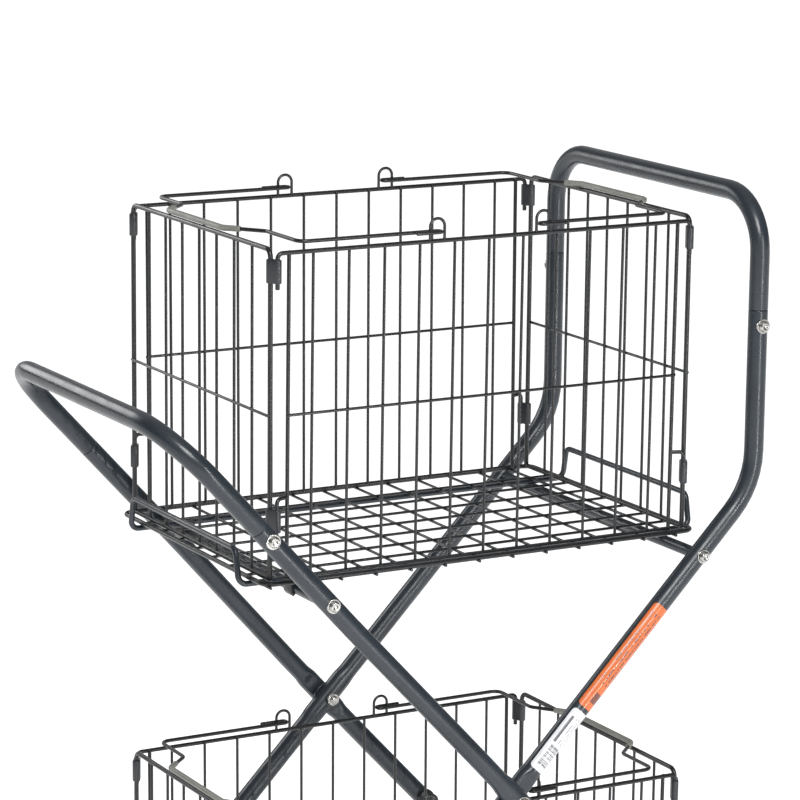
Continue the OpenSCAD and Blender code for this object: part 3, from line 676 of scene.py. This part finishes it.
def nut_end(place, shank, across, tall):
    """Hexagon nut with chamfered corners and the threaded end of its bolt."""
    corner = across / 2 / math.cos(math.pi / 6)
    inner = across / 2 * 0.97
    chamfer, pitch, turns = 0.7, 1.0, 4
    rows = [(inner, -0.5, across), (inner, 0.0, across), (corner, chamfer, across),
            (corner, tall - chamfer, across), (inner, tall, across),
            (shank / 2 + 0.5, tall), (shank / 2 + 0.2, tall - 0.3)]
    for k in range(turns):
        z = tall - 0.3 + k * pitch
        rows += [(shank / 2, z + 0.3), (shank / 2 - 0.45, z + 0.8)]
    top = tall - 0.3 + turns * pitch
    rows += [(shank / 2 - 0.7, top), (shank / 2 - 0.9, top + 0.05)]
    return lathe(rows, place, 48)


def outward(p, y):
    return facing((0, -1, 0), (p.x, -y, p.z))


def inward(p, y):
    return facing((0, 1, 0), (p.x, -y, p.z))


SEAT = 0.6
SMALL_HEAD_R = 5.8
SMALL_HEAD_H = 5.0


def arm_bolt(p, leg_y):
    return bolt_head(outward(p, leg_y + TUBE / 2 - SEAT), 7.6, SMALL_HEAD_R, SMALL_HEAD_H)


def pivot_bolt():
    head = bolt_head(outward(PIVOT, PIVOT_Y["a"] + TUBE / 2 - SEAT), 8.0, 6.8, 5.6)
    seat = PIVOT_Y["b"] - TUBE / 2 + SEAT - 0.3
    return head.add(nut_end(inward(PIVOT, seat), 8, 13, 6))


def pivot_spacer():
    inner, outer, thickness = 4.05, 13.0, 1.2
    outline = softened([(inner, 0), (outer, 0), (outer, thickness), (inner, thickness)], 0.25)
    return ring_lathe(outline, facing((0, 1, 0), (PIVOT.x, -FACE_A, PIVOT.z)))


def leg_bumper():
    """Round rubber buffer on the inner side of frame A's leg."""
    p = middle("leg_bumpers")
    base = high("leg_bumpers").y
    profile = [(0, 0), (10, 0), (10, 3.2), (8.8, 4.0), (10, 4.8), (10, 8), (6, 11), (0, 11.2)]
    return turned(profile, 1.2, inward(p, base))


def make_fasteners():
    for which in ("a", "b"):
        y = LEG_Y[which]
        arm = arm_bolt(HANDLE_BOLT[which], y).both()
        piece(f"handle_fasteners_{which}", arm, BOLT_ZINC, f"handle_bolts_{which}")
        heads = Shape()
        for p in (UPPER_TUBE[which], LOWER_TUBE[which]):
            heads.add(bolt_head(outward(p, y + TUBE / 2 - SEAT), 7.25, SMALL_HEAD_R, SMALL_HEAD_H))
        piece(f"cross_fasteners_{which}", heads.both(), BOLT_ZINC, f"cross_bolts_{which}")
    piece("pivot_fasteners", pivot_bolt().both(), BOLT_ZINC, "pivot_bolts")
    piece("pivot_washers", pivot_spacer().both(), BLACK_PLASTIC, "pivot_spacers")
    piece("rubber_buffers", leg_bumper().both(), BLACK_PLASTIC, "leg_bumpers")


# ---- Labels


def wrapped_film(r0, r1):
    """Thin film with rounded corners round the outer side of frame B's front leg."""
    wrap, turned_down, thickness, corner = math.radians(81), math.radians(17), 0.3, 4.0
    radius = TUBE / 2 + 0.02
    length = r1 - r0
    slope = SLOPE["b"]
    along = Vector((math.cos(slope), 0, math.sin(slope)))
    up = Vector((-math.sin(slope), 0, math.cos(slope)))
    out = Vector((0, -1, 0))
    origin = on_leg("b", r0, -LEG_Y["b"])
    round_steps, straight_steps, count = 6, 12, 28
    rounded = [corner * (1 - math.cos(math.pi / 2 * k / round_steps)) for k in range(round_steps + 1)]
    straight = length - 2 * corner
    stops = rounded + [corner + straight * k / straight_steps for k in range(1, straight_steps)]
    stops += [length - s for s in reversed(rounded)]
    shape = Shape()
    rings = []
    prints = []
    for v in stops:
        end = min(v, length - v, corner)
        half = wrap * radius - corner + math.sqrt(max(corner ** 2 - (corner - end) ** 2, 0.01))
        outer, inner = [], []
        for k in range(count + 1):
            u = half * (2 * k / count - 1)
            turn = u / radius - turned_down
            direction = out * math.cos(turn) + up * math.sin(turn)
            outer.append((origin + along * v + direction * (radius + thickness), (u, v)))
            inner.append((origin + along * v + direction * radius, (u, v)))
        ring = outer + inner[::-1]
        rings.append([p for p, _ in ring])
        prints.extend(uv for _, uv in ring)
    shape.rings(rings)
    prints += [(0.0, 0.0), (0.0, length)]
    shape.prints = dict(enumerate(prints))
    return shape


def make_label(name, finish, r0, r1, node):
    shape = wrapped_film(r0, r1)
    obj = piece(name, shape, finish, node)
    place = obj.data.attributes.new("print_place", "FLOAT_VECTOR", "POINT")
    for i, (u, v) in shape.prints.items():
        place.data[i].vector = (u, v, 0)


def label_span(node):
    """Distances of a label's two ends above the pivot along the leg."""
    slope = SLOPE["b"]
    overhang = TUBE / 2 * math.sin(slope)
    start = (low(node).x - PIVOT.x + overhang) / math.cos(slope)
    end = (high(node).x - PIVOT.x - overhang) / math.cos(slope)
    return start, end


def make_labels():
    make_label("orange_sticker", ORANGE_FILM, *label_span("orange_label"), "orange_label")
    make_label("white_sticker", WHITE_FILM, *label_span("white_label"), "white_label")


# ---- Baskets, drawn with the end panels' top wire at height 0


def weld_bead(x, y, z, normal, d=THIN):
    """Bead between two crossing wires, thin along the normal axis."""
    size = [0.62 * d, 0.62 * d, 0.62 * d]
    size["xyz".index(normal)] = 0.5 * d
    return bead((x, y, z), size)


END_WIRES = 7
SIDE_WIRES = 11
SIDE_PITCH = 38.8
MID_DROP = BASKET_H / 2
END_PITCH = 2 * POST_Y / (END_WIRES + 1)
PIN_X = POST_X - 4
PIN_DROP = 38.0
SIDE_RIM_DROP = 3.0
SIDE_END_X = POST_X - 17.5
SIDE_TOP_Y = SIDE_Y - WELD * (RIM + THIN) / 2
SIDE_LEAN = 3.0
STUB_DROP = 242.0
STUB_TAIL = 276.0
POST_BEND = 8.0
PIN_BEND = 5.5
STUB_BEND = 5.0


def end_panel(side):
    x = side * POST_X
    out = x + side * WELD * THIN
    corners = [(x, -POST_Y, -BASKET_H), (x, -POST_Y, 0), (x, POST_Y, 0), (x, POST_Y, -BASKET_H)]
    hoop = bent(corners, POST_BEND)
    shape = sweep(hoop, POST, 18, 0.6, up=(1, 0, 0))
    shape.add(rod((x, -POST_Y, -BASKET_H), (x, POST_Y, -BASKET_H), POST, 18))
    shape.add(rod((out, -POST_Y - 1, -MID_DROP), (out, POST_Y + 1, -MID_DROP), THIN))
    for i in range(1, END_WIRES + 1):
        y = -POST_Y + i * END_PITCH
        shape.add(rod((x, y, -BASKET_H), (x, y, 0), THIN))
        shape.add(weld_bead((x + out) / 2, y, -MID_DROP, "x"))
        for z in (-POST / 2, POST / 2 - BASKET_H):
            shape.add(bead((x, y, z), (0.6 * THIN, 0.75 * THIN, 0.45 * THIN)))
    for y in (-POST_Y, POST_Y):
        shape.add(weld_bead((x + out) / 2, y, -MID_DROP, "x"))
        shape.add(bead((x, y, -BASKET_H), (0.52 * POST, 0.58 * POST, 0.52 * POST)))
    return shape


def upright_y(drop):
    return SIDE_TOP_Y - SIDE_LEAN * drop / BASKET_H


def bail_loop(x):
    wide, top = 16.0, 19.0
    y = -SIDE_Y
    path = bent([(x - wide / 2, y, -SIDE_RIM_DROP - 1.5), (x - wide / 2, y, top), (x + wide / 2, y, top),
                 (x + wide / 2, y, -SIDE_RIM_DROP - 1.5)], wide / 2 - 0.2)
    shape = sweep(path, THIN, up=(0, 1, 0))
    for end in (-wide / 2, wide / 2):
        shape.add(bead((x + end, y, -SIDE_RIM_DROP + 0.4), (0.75 * THIN, 0.72 * THIN, 0.85 * THIN)))
    return shape


def side_panel():
    """Front panel: its rim's ends and two short stubs are bent down as pins."""
    foot_y = upright_y(BASKET_H) + WELD * THIN
    mid_y = upright_y(MID_DROP) + WELD * THIN
    half = (SIDE_WIRES - 1) // 2
    rim = bent([(-PIN_X, -SIDE_Y, -PIN_DROP), (-PIN_X, -SIDE_Y, -SIDE_RIM_DROP),
                (PIN_X, -SIDE_Y, -SIDE_RIM_DROP), (PIN_X, -SIDE_Y, -PIN_DROP)], PIN_BEND)
    shape = sweep(rim, RIM, 18, 0.9, up=(0, 1, 0))
    for y, drop in ((foot_y, BASKET_H), (mid_y, MID_DROP)):
        shape.add(rod((-SIDE_END_X - 1, -y, -drop), (SIDE_END_X + 1, -y, -drop), THIN))
    ends = [(i * SIDE_PITCH, THIN) for i in range(-half, half + 1)]
    ends += [(-SIDE_END_X, THICK_END), (SIDE_END_X, THICK_END)]
    for x, d in ends:
        shape.add(rod((x, -upright_y(BASKET_H), -BASKET_H - 1), (x, -SIDE_TOP_Y, -SIDE_RIM_DROP + 1), d))
        shape.add(weld_bead(x, -(upright_y(BASKET_H) + foot_y) / 2, -BASKET_H, "y", d))
        shape.add(weld_bead(x, -(upright_y(MID_DROP) + mid_y) / 2, -MID_DROP, "y", d))
        shape.add(weld_bead(x, -(SIDE_TOP_Y + SIDE_Y) / 2, -SIDE_RIM_DROP, "y", d))
    for end in (-1, 1):
        stub = bent([(end * SIDE_END_X, -upright_y(STUB_DROP), -STUB_DROP),
                     (end * PIN_X, -SIDE_Y, -STUB_DROP), (end * PIN_X, -SIDE_Y, -STUB_TAIL)], STUB_BEND)
        shape.add(sweep(stub, THICK_END, edge=0.9))
        shape.add(bail_loop(end * BAIL_HINGE_X))
    return shape


BASE_RIM_X = high("upper_base_grid").x - POST / 2
BASE_RIM_Y = high("upper_base_grid").y - 4
BASE_DROP = BASKET_H + 3
BASE_LONG_DROP = BASKET_H + (POST + THIN) / 2 + 0.1
BASE_CROSS_DROP = BASE_DROP + WELD * (POST + THIN) / 2
BASE_CROSS_PITCH = 38.8
BASE_CROSS_SHIFT = -9.7


def base_grid():
    x, y, z = BASE_RIM_X, BASE_RIM_Y, -BASE_DROP
    rim = bent([(-x, -y, z), (x, -y, z), (x, y, z), (-x, y, z)], 12, closed=True)
    shape = sweep(rim, POST, 18, closed=True)
    long_y = [i * END_PITCH for i in range(-3, 4)]
    cross_x = [i * BASE_CROSS_PITCH + BASE_CROSS_SHIFT for i in range(-6, 7)]
    for wire_y in long_y:
        shape.add(rod((-x - 1, wire_y, -BASE_LONG_DROP), (x + 1, wire_y, -BASE_LONG_DROP), THIN))
        for end in (-x, x):
            shape.add(weld_bead(end, wire_y, -BASE_DROP - 0.6, "z"))
    for wire_x in cross_x:
        shape.add(rod((wire_x, -y - 4, -BASE_CROSS_DROP), (wire_x, y + 4, -BASE_CROSS_DROP), THIN))
        for end in (-y, y):
            shape.add(weld_bead(wire_x, end, -(BASE_DROP + BASE_CROSS_DROP) / 2 - 0.4, "z", 3.4))
        for wire_y in long_y:
            shape.add(weld_bead(wire_x, wire_y, -(BASE_LONG_DROP + BASE_CROSS_DROP) / 2, "z"))
    return shape


def corner_sleeve(bottom_drop):
    """Folded sheet round a corner post and the side panel's pin, at the right front corner."""
    tall, wall, waist = 23.0, 1.7, 0.8
    post_r, pin_r = POST / 2 + wall, RIM / 2 + wall
    pin = Vector((PIN_X - POST_X, POST_Y - SIDE_Y))
    aim = math.degrees(math.atan2(pin.y, pin.x))
    outline = arc((0, 0), post_r, aim + 90, aim + 270, 16)
    along = pin.normalized()
    normal = Vector((-along.y, along.x))
    centre = pin / 2
    narrow = (post_r + pin_r) / 2 - waist
    outline.append(tuple(centre - normal * narrow))
    outline += arc(tuple(pin), pin_r, aim - 90, aim + 90, 16)
    outline.append(tuple(centre + normal * narrow))
    place = Matrix.Translation((POST_X, -POST_Y, tall / 2 - bottom_drop))
    return plate(outline, tall, place, 1.0)


def sleeves():
    front = Shape()
    for drop in (32.0, 275.0):
        right = corner_sleeve(drop)
        front.add(right)
        flipped = Shape()
        flipped.points = [Vector((-p.x, p.y, p.z)) for p in right.points]
        flipped.faces = right.faces
        front.add(flipped)
    return front.both()


BAIL_Z = middle("upper_bail_right").z - RIM_Z["upper"]
BAIL_GRIP_X = high("upper_bail_right").x - (BAIL + 1) / 2
BAIL_TAIL_Y = high("upper_bail_right").y - BAIL / 2
BAIL_ARM_Y = 2 * SIDE_Y - BAIL_TAIL_Y
BAIL_HINGE_X = 60.0
BAIL_BEND = 10.0
BAIL_ARM_X = BAIL_GRIP_X - 29
BAIL_CORNERS = [(BAIL_ARM_X, 88), (BAIL_GRIP_X, 50), (BAIL_GRIP_X, -72), (BAIL_ARM_X, -100)]


def bail():
    """Wire bail handle: hairpin ends through the loops, and a grip over the end panel."""
    z = BAIL_Z
    turn = (BAIL_TAIL_Y - BAIL_ARM_Y) / 2
    tip_x = BAIL_HINGE_X - turn
    tail_x = BAIL_HINGE_X + 25
    path = [(tail_x, BAIL_TAIL_Y, z), (tip_x, BAIL_TAIL_Y, z), (tip_x, BAIL_ARM_Y, z),
            (BAIL_ARM_X, BAIL_ARM_Y, z)]
    path += [(x, y, z) for x, y in BAIL_CORNERS]
    path += [(BAIL_ARM_X, -BAIL_ARM_Y, z), (tip_x, -BAIL_ARM_Y, z), (tip_x, -BAIL_TAIL_Y, z),
             (tail_x, -BAIL_TAIL_Y, z)]
    hairpin = turn - 0.1
    bends = [hairpin, hairpin] + [BAIL_BEND] * 6 + [hairpin, hairpin]
    return sweep(bent(path, bends), BAIL, 16, 0.9)


def grip():
    """Moulded sleeve over a bail's grip, from one slanted part to the other."""
    share = 0.42
    corners = [Vector((x, y, BAIL_Z)) for x, y in BAIL_CORNERS]
    start = corners[1].lerp(corners[0], share)
    end = corners[2].lerp(corners[3], share)
    return sweep(bent([start, corners[1], corners[2], end], BAIL_BEND), GRIP, 20, 1.1)


def at_rim(shape, level, turned_round=False):
    """The shape at a basket's rim height, turned half round for the left side."""
    place = Matrix.Translation((0, 0, RIM_Z[level]))
    if turned_round:
        place = place @ Matrix.Rotation(math.pi, 4, "Z")
    return Shape().add(shape, place)


def make_basket(level):
    def add(name, shape, finish, node, turned_round=False):
        piece(f"{level}_{name}", at_rim(shape, level, turned_round), finish, f"{level}_{node}")

    add("base_wires", base_grid(), WIRE_COAT, "base_grid")
    add("left_end_wires", end_panel(-1), WIRE_COAT, "left_end")
    add("right_end_wires", end_panel(1), WIRE_COAT, "right_end")
    add("front_wires", side_panel(), WIRE_COAT, "front_panel")
    add("back_wires", side_panel().mirrored(), WIRE_COAT, "back_panel")
    add("corner_sleeves", sleeves(), SHEET_COAT, "sleeves")
    for side, turned_round in (("left", True), ("right", False)):
        add(f"{side}_bail_wire", bail(), BAIL_COAT, f"bail_{side}", turned_round)
        add(f"{side}_bail_grip", grip(), GRIP_VINYL, f"bail_{side}", turned_round)


# ---- Carriers


def hoop_points(level, side):
    """The four points of a carrier's end hoop, from front to back."""
    node = f"{level}_carrier"
    r = CARRIER / 2
    x = HOOP_X[side]
    y = high(node).y - r
    z = low(node).z + r
    top_y = y - HOOP_TAPER
    top_z = high(node).z - r
    return [(x, -y, z), (x, -top_y, top_z), (x, top_y, top_z), (x, y, z)]


HOOP_TAPER = 7.0
HOOP_BEND = 9.0
HOOP_X = {"left": low("upper_carrier").x + CARRIER / 2, "right": high("upper_carrier").x - CARRIER / 2}


def upper_carrier():
    corners = hoop_points("upper", "right") + hoop_points("upper", "left")[::-1]
    return sweep(bent(corners, HOOP_BEND, closed=True), CARRIER, 20, closed=True)


def lower_carrier():
    node = "lower_carrier"
    r = CARRIER / 2
    y = high(node).y - r
    z = low(node).z + r
    shape = Shape()
    for side in ("left", "right"):
        shape.add(sweep(bent(hoop_points("lower", side), HOOP_BEND), CARRIER, 20, up=(1, 0, 0)))
        for end in (-y, y):
            shape.add(bead((HOOP_X[side], end, z), (0.62 * CARRIER, 0.55 * CARRIER, 0.55 * CARRIER)))
    wire = rod((low(node).x, -y, z), (high(node).x, -y, z), CARRIER, 20, 0.8)
    return shape.add(wire.both())


def carrier_clip(tube, carrier_z, y):
    """Snap clip: an open ring round the cross tube with a block that holds the carrier wire."""
    ring_out, ring_in, width = CROSS_TUBE / 2 + 3, CROSS_TUBE / 2 + 0.05, 16.0
    opening = 34
    top = carrier_z - tube.z + CARRIER / 2 - 0.1
    block = 8.0
    outline = arc((0, 0), ring_in, -90 - opening, -450 + opening, 30)
    outline += arc((0, 0), ring_out, -90 + opening, -20, 10)
    outline += [(block, 2), (block, top), (-block, top), (-block, 2)]
    outline += arc((0, 0), ring_out, 200, 270 - opening, 10)
    place = Matrix.Translation((tube.x, -y, tube.z)) @ Matrix.Rotation(math.pi / 2, 4, "X")
    return plate(outline, width, place, 0.5)


def make_carriers():
    piece("upper_carrier_wire", upper_carrier(), FRAME_COAT, "upper_carrier")
    piece("lower_carrier_wire", lower_carrier(), FRAME_COAT, "lower_carrier")
    for level, tube in (("upper", UPPER_TUBE["a"]), ("lower", LOWER_TUBE["a"])):
        node = f"{level}_carrier"
        y = high(node).y - CARRIER / 2
        clip = carrier_clip(tube, low(node).z + CARRIER / 2, y)
        piece(f"{level}_snap_clips", clip.both(), BLACK_PLASTIC, f"{level}_carrier_clips")


# ---- Castors, drawn with the swivel axis on Z and the wheel trailing towards +X

TRAIL = middle("tyre_a_front").x - FOOT_X["a"]
WHEEL_R = middle("tyre_a_front").z
TYRE_HALF = high("tyre_a_front").y - middle("tyre_a_front").y
CORE_R = WHEEL_R - 7.5
HUB_HALF = high("wheel_a_front").y - middle("wheel_a_front").y
FORK_HALF = high("fork_a_front").y - middle("fork_a_front").y
CHEEK = 2.5
FORK_TOP = 87.0
CUP_TOP = high("fork_a_front").z
AXLE_HALF = high("axle_a_front").y - middle("axle_a_front").y
BRAKE_PIN = (27.0, 81.5)


def socket():
    """Plug in a leg's foot with its flange, the swivel stem and the riveted end."""
    flange = turned([(0, FOOT_Z - 3), (FLANGE_R, FOOT_Z - 3), (FLANGE_R, FOOT_Z), (0, FOOT_Z)], 0.7)
    rivet = turned([(0, 80.7), (6.5, 80.9), (8, 82.4), (8, 83.6), (5, 83.7), (5, 98), (0, 98)], 0.6)
    return flange.add(rivet)


def fork(braked):
    """Pressed fork: a raceway cup over a folded plate with two cheeks."""
    cup = [(0, FORK_TOP - 1), (14.5, FORK_TOP - 1), (16, FORK_TOP + 1), (16, FORK_TOP + 3),
           (15, FORK_TOP + 3.6), (15, FORK_TOP + 4.4), (17, FORK_TOP + 5), (17, CUP_TOP - 2.6),
           (13.5, CUP_TOP), (0, CUP_TOP)]
    shape = turned(cup, 0.55)
    outer, inner, drop = FORK_HALF, FORK_HALF - CHEEK, 9.0
    section = softened([(-outer, -drop), (-outer, 0), (outer, 0), (outer, -drop), (inner, -drop),
                        (inner, -3), (-inner, -3), (-inner, -drop)], 1.1)
    front, back = -15.0, 19.0
    turn = Matrix.Rotation(math.pi / 2, 4, "Z") @ Matrix.Rotation(math.pi / 2, 4, "X")
    place = Matrix.Translation(((front + back) / 2, 0, FORK_TOP)) @ turn
    shape.add(plate(section, back - front, place, 0.5))
    outline = bent([(front, FORK_TOP - 2, 0), (back, FORK_TOP - 2, 0), (TRAIL + 10.5, WHEEL_R + 6, 0),
                    (TRAIL + 10.5, WHEEL_R - 10, 0), (TRAIL - 10.5, WHEEL_R - 10, 0),
                    (TRAIL - 10.5, WHEEL_R + 2, 0)], [0.8, 0.8, 5, 9.5, 9.5, 6], closed=True)
    cheek = plate([(p.x, p.y) for p in outline], CHEEK, edge=0.5)
    if braked:
        x, z = BRAKE_PIN
        ear = [(8, FORK_TOP - 1), (x + 5, FORK_TOP - 1), (x + 5, z - 5), (x - 4, z - 6), (8, 68)]
        cheek.add(plate(softened(ear, 3.5), CHEEK - 0.1, edge=0.5))
    upright = Matrix.Rotation(math.pi / 2, 4, "X")
    for side in (-1, 1):
        shape.add(cheek, Matrix.Translation((0, side * (FORK_HALF - CHEEK / 2), 0)) @ upright)
    return shape


def axle():
    """Hexagon bolt through the fork, with its nut."""
    flats, corner = 12.0, 13.0 / 2
    head_h = AXLE_HALF - FORK_HALF
    shape = Shape()
    for side in (-1, 1):
        place = facing((0, side, 0), (TRAIL, side * FORK_HALF, WHEEL_R))
        rows = [(5.6, -0.4, flats), (5.8, 0, flats), (corner, 0.5, flats), (corner, head_h - 0.6, flats),
                (5.5, head_h, flats), (3.4, head_h, 9), (3.0, head_h - 0.25)]
        shape.add(lathe(rows, place, 48))
    return shape.add(rod((TRAIL, -FORK_HALF, WHEEL_R), (TRAIL, FORK_HALF, WHEEL_R), 8, 32))


def wheel_core():
    """Moulded wheel: hub, web and rim, with ribs on both sides."""
    half = TYRE_HALF - 1
    outline = softened([
        (4.05, -HUB_HALF), (9.5, -HUB_HALF), (11, -3), (CORE_R - 4, -3), (CORE_R - 3.2, -half),
        (CORE_R, -half), (CORE_R, half), (CORE_R - 3.2, half), (CORE_R - 4, 3), (11, 3),
        (9.5, HUB_HALF), (4.05, HUB_HALF),
    ], 0.7)
    place = facing((0, 1, 0), (TRAIL, 0, WHEEL_R))
    shape = ring_lathe(outline, place)
    ribs = 10
    rib = softened([(9, -8), (CORE_R - 3, -8.6), (CORE_R - 3, 8.6), (9, 8)], 0.8)
    for k in range(ribs):
        turn = Matrix.Rotation(math.tau * k / ribs, 4, "Y")
        shape.add(plate(rib, 2.0, Matrix.Translation((TRAIL, 0, WHEEL_R)) @ turn, 0.4))
    return shape


def tyre():
    """Solid tyre with rounded shoulders and three shallow grooves."""
    half, shoulder, groove = TYRE_HALF, 2.6, 0.5
    top = [(WHEEL_R, half - shoulder)]
    wide, narrow = 0.7, 0.45
    for y in (5.0, 0.0, -5.0):
        top += [(WHEEL_R, y + wide), (WHEEL_R - groove, y + narrow)]
        top += [(WHEEL_R - groove, y - narrow), (WHEEL_R, y - wide)]
    top.append((WHEEL_R, shoulder - half))
    lower = arc((WHEEL_R - shoulder, shoulder - half), shoulder, 0, -80, 6)[1:]
    upper = arc((WHEEL_R - shoulder, half - shoulder), shoulder, 80, 0, 6)[:-1]
    outline = upper + top + lower + [(CORE_R, 0.4 - half), (CORE_R, half - 0.4)]
    return ring_lathe(outline, facing((0, 1, 0), (TRAIL, 0, WHEEL_R)), 72)


def brake_pedal():
    """Foot pedal: barrel, ribbed plate with a round end, and the lobe that presses the tyre."""
    x, z = BRAKE_PIN
    long, thick, lobe_at = 36.0, 4.5, math.radians(45)
    barrel = turned([(0, -HUB_HALF), (5, -HUB_HALF), (5, HUB_HALF), (0, HUB_HALF)], 0.7,
                    facing((0, 1, 0), (x, 0, z)))
    outline = [(0, HUB_HALF), *arc((long, 0), HUB_HALF, -90, 90, 20)[::-1], (0, -HUB_HALF)]
    shape = barrel.add(plate(outline, thick, Matrix.Translation((x, 0, z + 0.5 + thick / 2)), 1.2))
    for k in range(6):
        reach = long - 8 + 3.6 * k
        half = math.sqrt(max(HUB_HALF ** 2 - max(reach - long, 0) ** 2, 0)) - 2.6
        at = (x + reach, 0, z + thick + 0.5)
        rib = [(0, -half), (0.9, -half + 0.4), (0.9, half - 0.4), (0, half)]
        shape.add(turned(rib, 0.2, facing((0, 1, 0), at), 16))
    for y in (-HUB_HALF + 1.6, HUB_HALF - 1.6):
        gusset = softened([(-3, -3.5), (4, -4.5), (long - 2, -0.5), (long, 1.5), (-3, 1.5)], 1.0)
        turn = Matrix.Translation((x, y, z)) @ Matrix.Rotation(math.pi / 2, 4, "X")
        shape.add(plate(gusset, 2.4, turn, 0.5))
    lobe = (x + 4 * math.cos(lobe_at), 0, z - 4 * math.sin(lobe_at))
    return shape.add(turned([(0, -9), (2.5, -9), (2.5, 9), (0, 9)], 0.6, facing((0, 1, 0), lobe), 24))


def brake_pin():
    x, z = BRAKE_PIN
    half = FORK_HALF + 1
    return turned([(0, -half), (2.0, -half), (2.0, half), (0, half)], 0.5, facing((0, 1, 0), (x, 0, z)), 24)


def make_castor(which, side):
    y = LEG_Y[which] * (-1 if side == "front" else 1)
    place = Matrix.Translation((FOOT_X[which], y, 0))
    end = f"{which}_{side}"

    def add(name, shape, finish, node):
        piece(name, Shape().add(shape, place), finish, node)

    add(f"castor_fork_{end}", fork(which == "b"), CASTOR_ZINC, f"fork_{end}")
    add(f"axle_bolt_{end}", axle(), BOLT_ZINC, f"axle_{end}")
    add(f"wheel_centre_{end}", wheel_core(), WHEEL_PLASTIC, f"wheel_{end}")
    add(f"rubber_tyre_{end}", tyre(), TYRE_RUBBER, f"tyre_{end}")
    if which == "b":
        add(f"brake_pedal_{side}", brake_pedal(), BLACK_PLASTIC, f"brake_lever_{side}")
        add(f"brake_pin_{side}", brake_pin(), BOLT_ZINC, f"brake_lever_{side}")


def make_castors():
    for which in ("a", "b"):
        sockets = Shape().add(socket(), Matrix.Translation((FOOT_X[which], -LEG_Y[which], 0))).both()
        piece(f"foot_plugs_{which}", sockets, CASTOR_ZINC, f"castor_sockets_{which}")
        for side in ("front", "back"):
            make_castor(which, side)


# ---- Studio


def camera():
    """Camera at the height and distance of a product photograph taken with a long lens."""
    turn, tilt, roll = math.radians(-29.1), math.radians(11.9), math.radians(0.6)
    back = Vector((math.sin(turn) * math.cos(tilt), -math.cos(turn) * math.cos(tilt), math.sin(tilt)))
    data = bpy.data.cameras.new("camera")
    data.sensor_width = 36
    data.lens = 156.69
    data.clip_end = 200
    obj = bpy.data.objects.new("camera", data)
    obj.location = (-1.7105, -3.0563, 1.5872)
    obj.rotation_mode = "QUATERNION"
    obj.rotation_quaternion = back.to_track_quat("Z", "Y") @ Quaternion((0, 0, 1), roll)
    bpy.context.scene.collection.objects.link(obj)
    bpy.context.scene.camera = obj


def area_light(name, direction, distance, size, power):
    """Rectangular lamp that looks at the middle of the trolley from a direction."""
    target = Vector((0, 0, 0.55))
    data = bpy.data.lights.new(name, "AREA")
    data.shape = "RECTANGLE"
    data.size, data.size_y = size
    data.energy = power
    obj = bpy.data.objects.new(name, data)
    aim = Vector(direction).normalized()
    obj.location = target + aim * distance
    obj.rotation_mode = "QUATERNION"
    obj.rotation_quaternion = aim.to_track_quat("Z", "Y")
    bpy.context.scene.collection.objects.link(obj)


def studio_world():
    """White room that is a little darker to the camera's left and right."""
    picture_right = (0.874, -0.486, 0)
    world = bpy.data.worlds.new("studio")
    bpy.context.scene.world = world
    world.use_nodes = True
    tree = world.node_tree
    background = tree.nodes["Background"]
    place = tree.nodes.new("ShaderNodeTexCoord")
    side = tree.nodes.new("ShaderNodeVectorMath")
    side.operation = "DOT_PRODUCT"
    side.inputs[1].default_value = picture_right
    tree.links.new(place.outputs["Generated"], side.inputs[0])
    size = tree.nodes.new("ShaderNodeMath")
    size.operation = "ABSOLUTE"
    tree.links.new(side.outputs["Value"], size.inputs[0])
    ramp = tree.nodes.new("ShaderNodeValToRGB")
    ramp.color_ramp.elements[0].position = 0.2
    ramp.color_ramp.elements[0].color = (0.5, 0.5, 0.51, 1)
    ramp.color_ramp.elements[1].position = 0.8
    ramp.color_ramp.elements[1].color = (0.12, 0.125, 0.135, 1)
    tree.links.new(size.outputs[0], ramp.inputs[0])
    tree.links.new(ramp.outputs["Color"], background.inputs["Color"])
    background.inputs["Strength"].default_value = 1.0


def floor():
    """Pale seamless floor."""
    half = 60.0
    mesh = bpy.data.meshes.new("floor")
    corners = [(-half, -half, 0), (half, -half, 0), (half, half, 0), (-half, half, 0)]
    mesh.from_pydata(corners, [], [(0, 1, 2, 3)])
    obj = bpy.data.objects.new("floor", mesh)
    bpy.context.scene.collection.objects.link(obj)
    material = bpy.data.materials.new("floor_paint")
    material.use_nodes = True
    shader = material.node_tree.nodes["Principled BSDF"]
    shader.inputs["Base Color"].default_value = (0.86, 0.86, 0.86, 1)
    shader.inputs["Roughness"].default_value = 0.75
    shader.inputs["Emission Color"].default_value = (1, 1, 1, 1)
    shader.inputs["Emission Strength"].default_value = 0.8
    mesh.materials.append(material)


def studio():
    camera()
    studio_world()
    floor()
    area_light("key", (-0.25, -0.75, 0.75), 3.2, (1.2, 1.2), 60)
    area_light("strip", (0.19, -0.98, 0.07), 3.0, (0.05, 2.4), 34)
    area_light("back_left", (-0.42, 0.756, 0.506), 1.72, (0.7, 0.7), 7)


studio()
make_frame_tubes()
make_fasteners()
make_labels()
for basket_level in ("upper", "lower"):
    make_basket(basket_level)
make_carriers()
make_castors()

view_settings = bpy.context.scene.view_settings
view_settings.view_transform = "Standard"
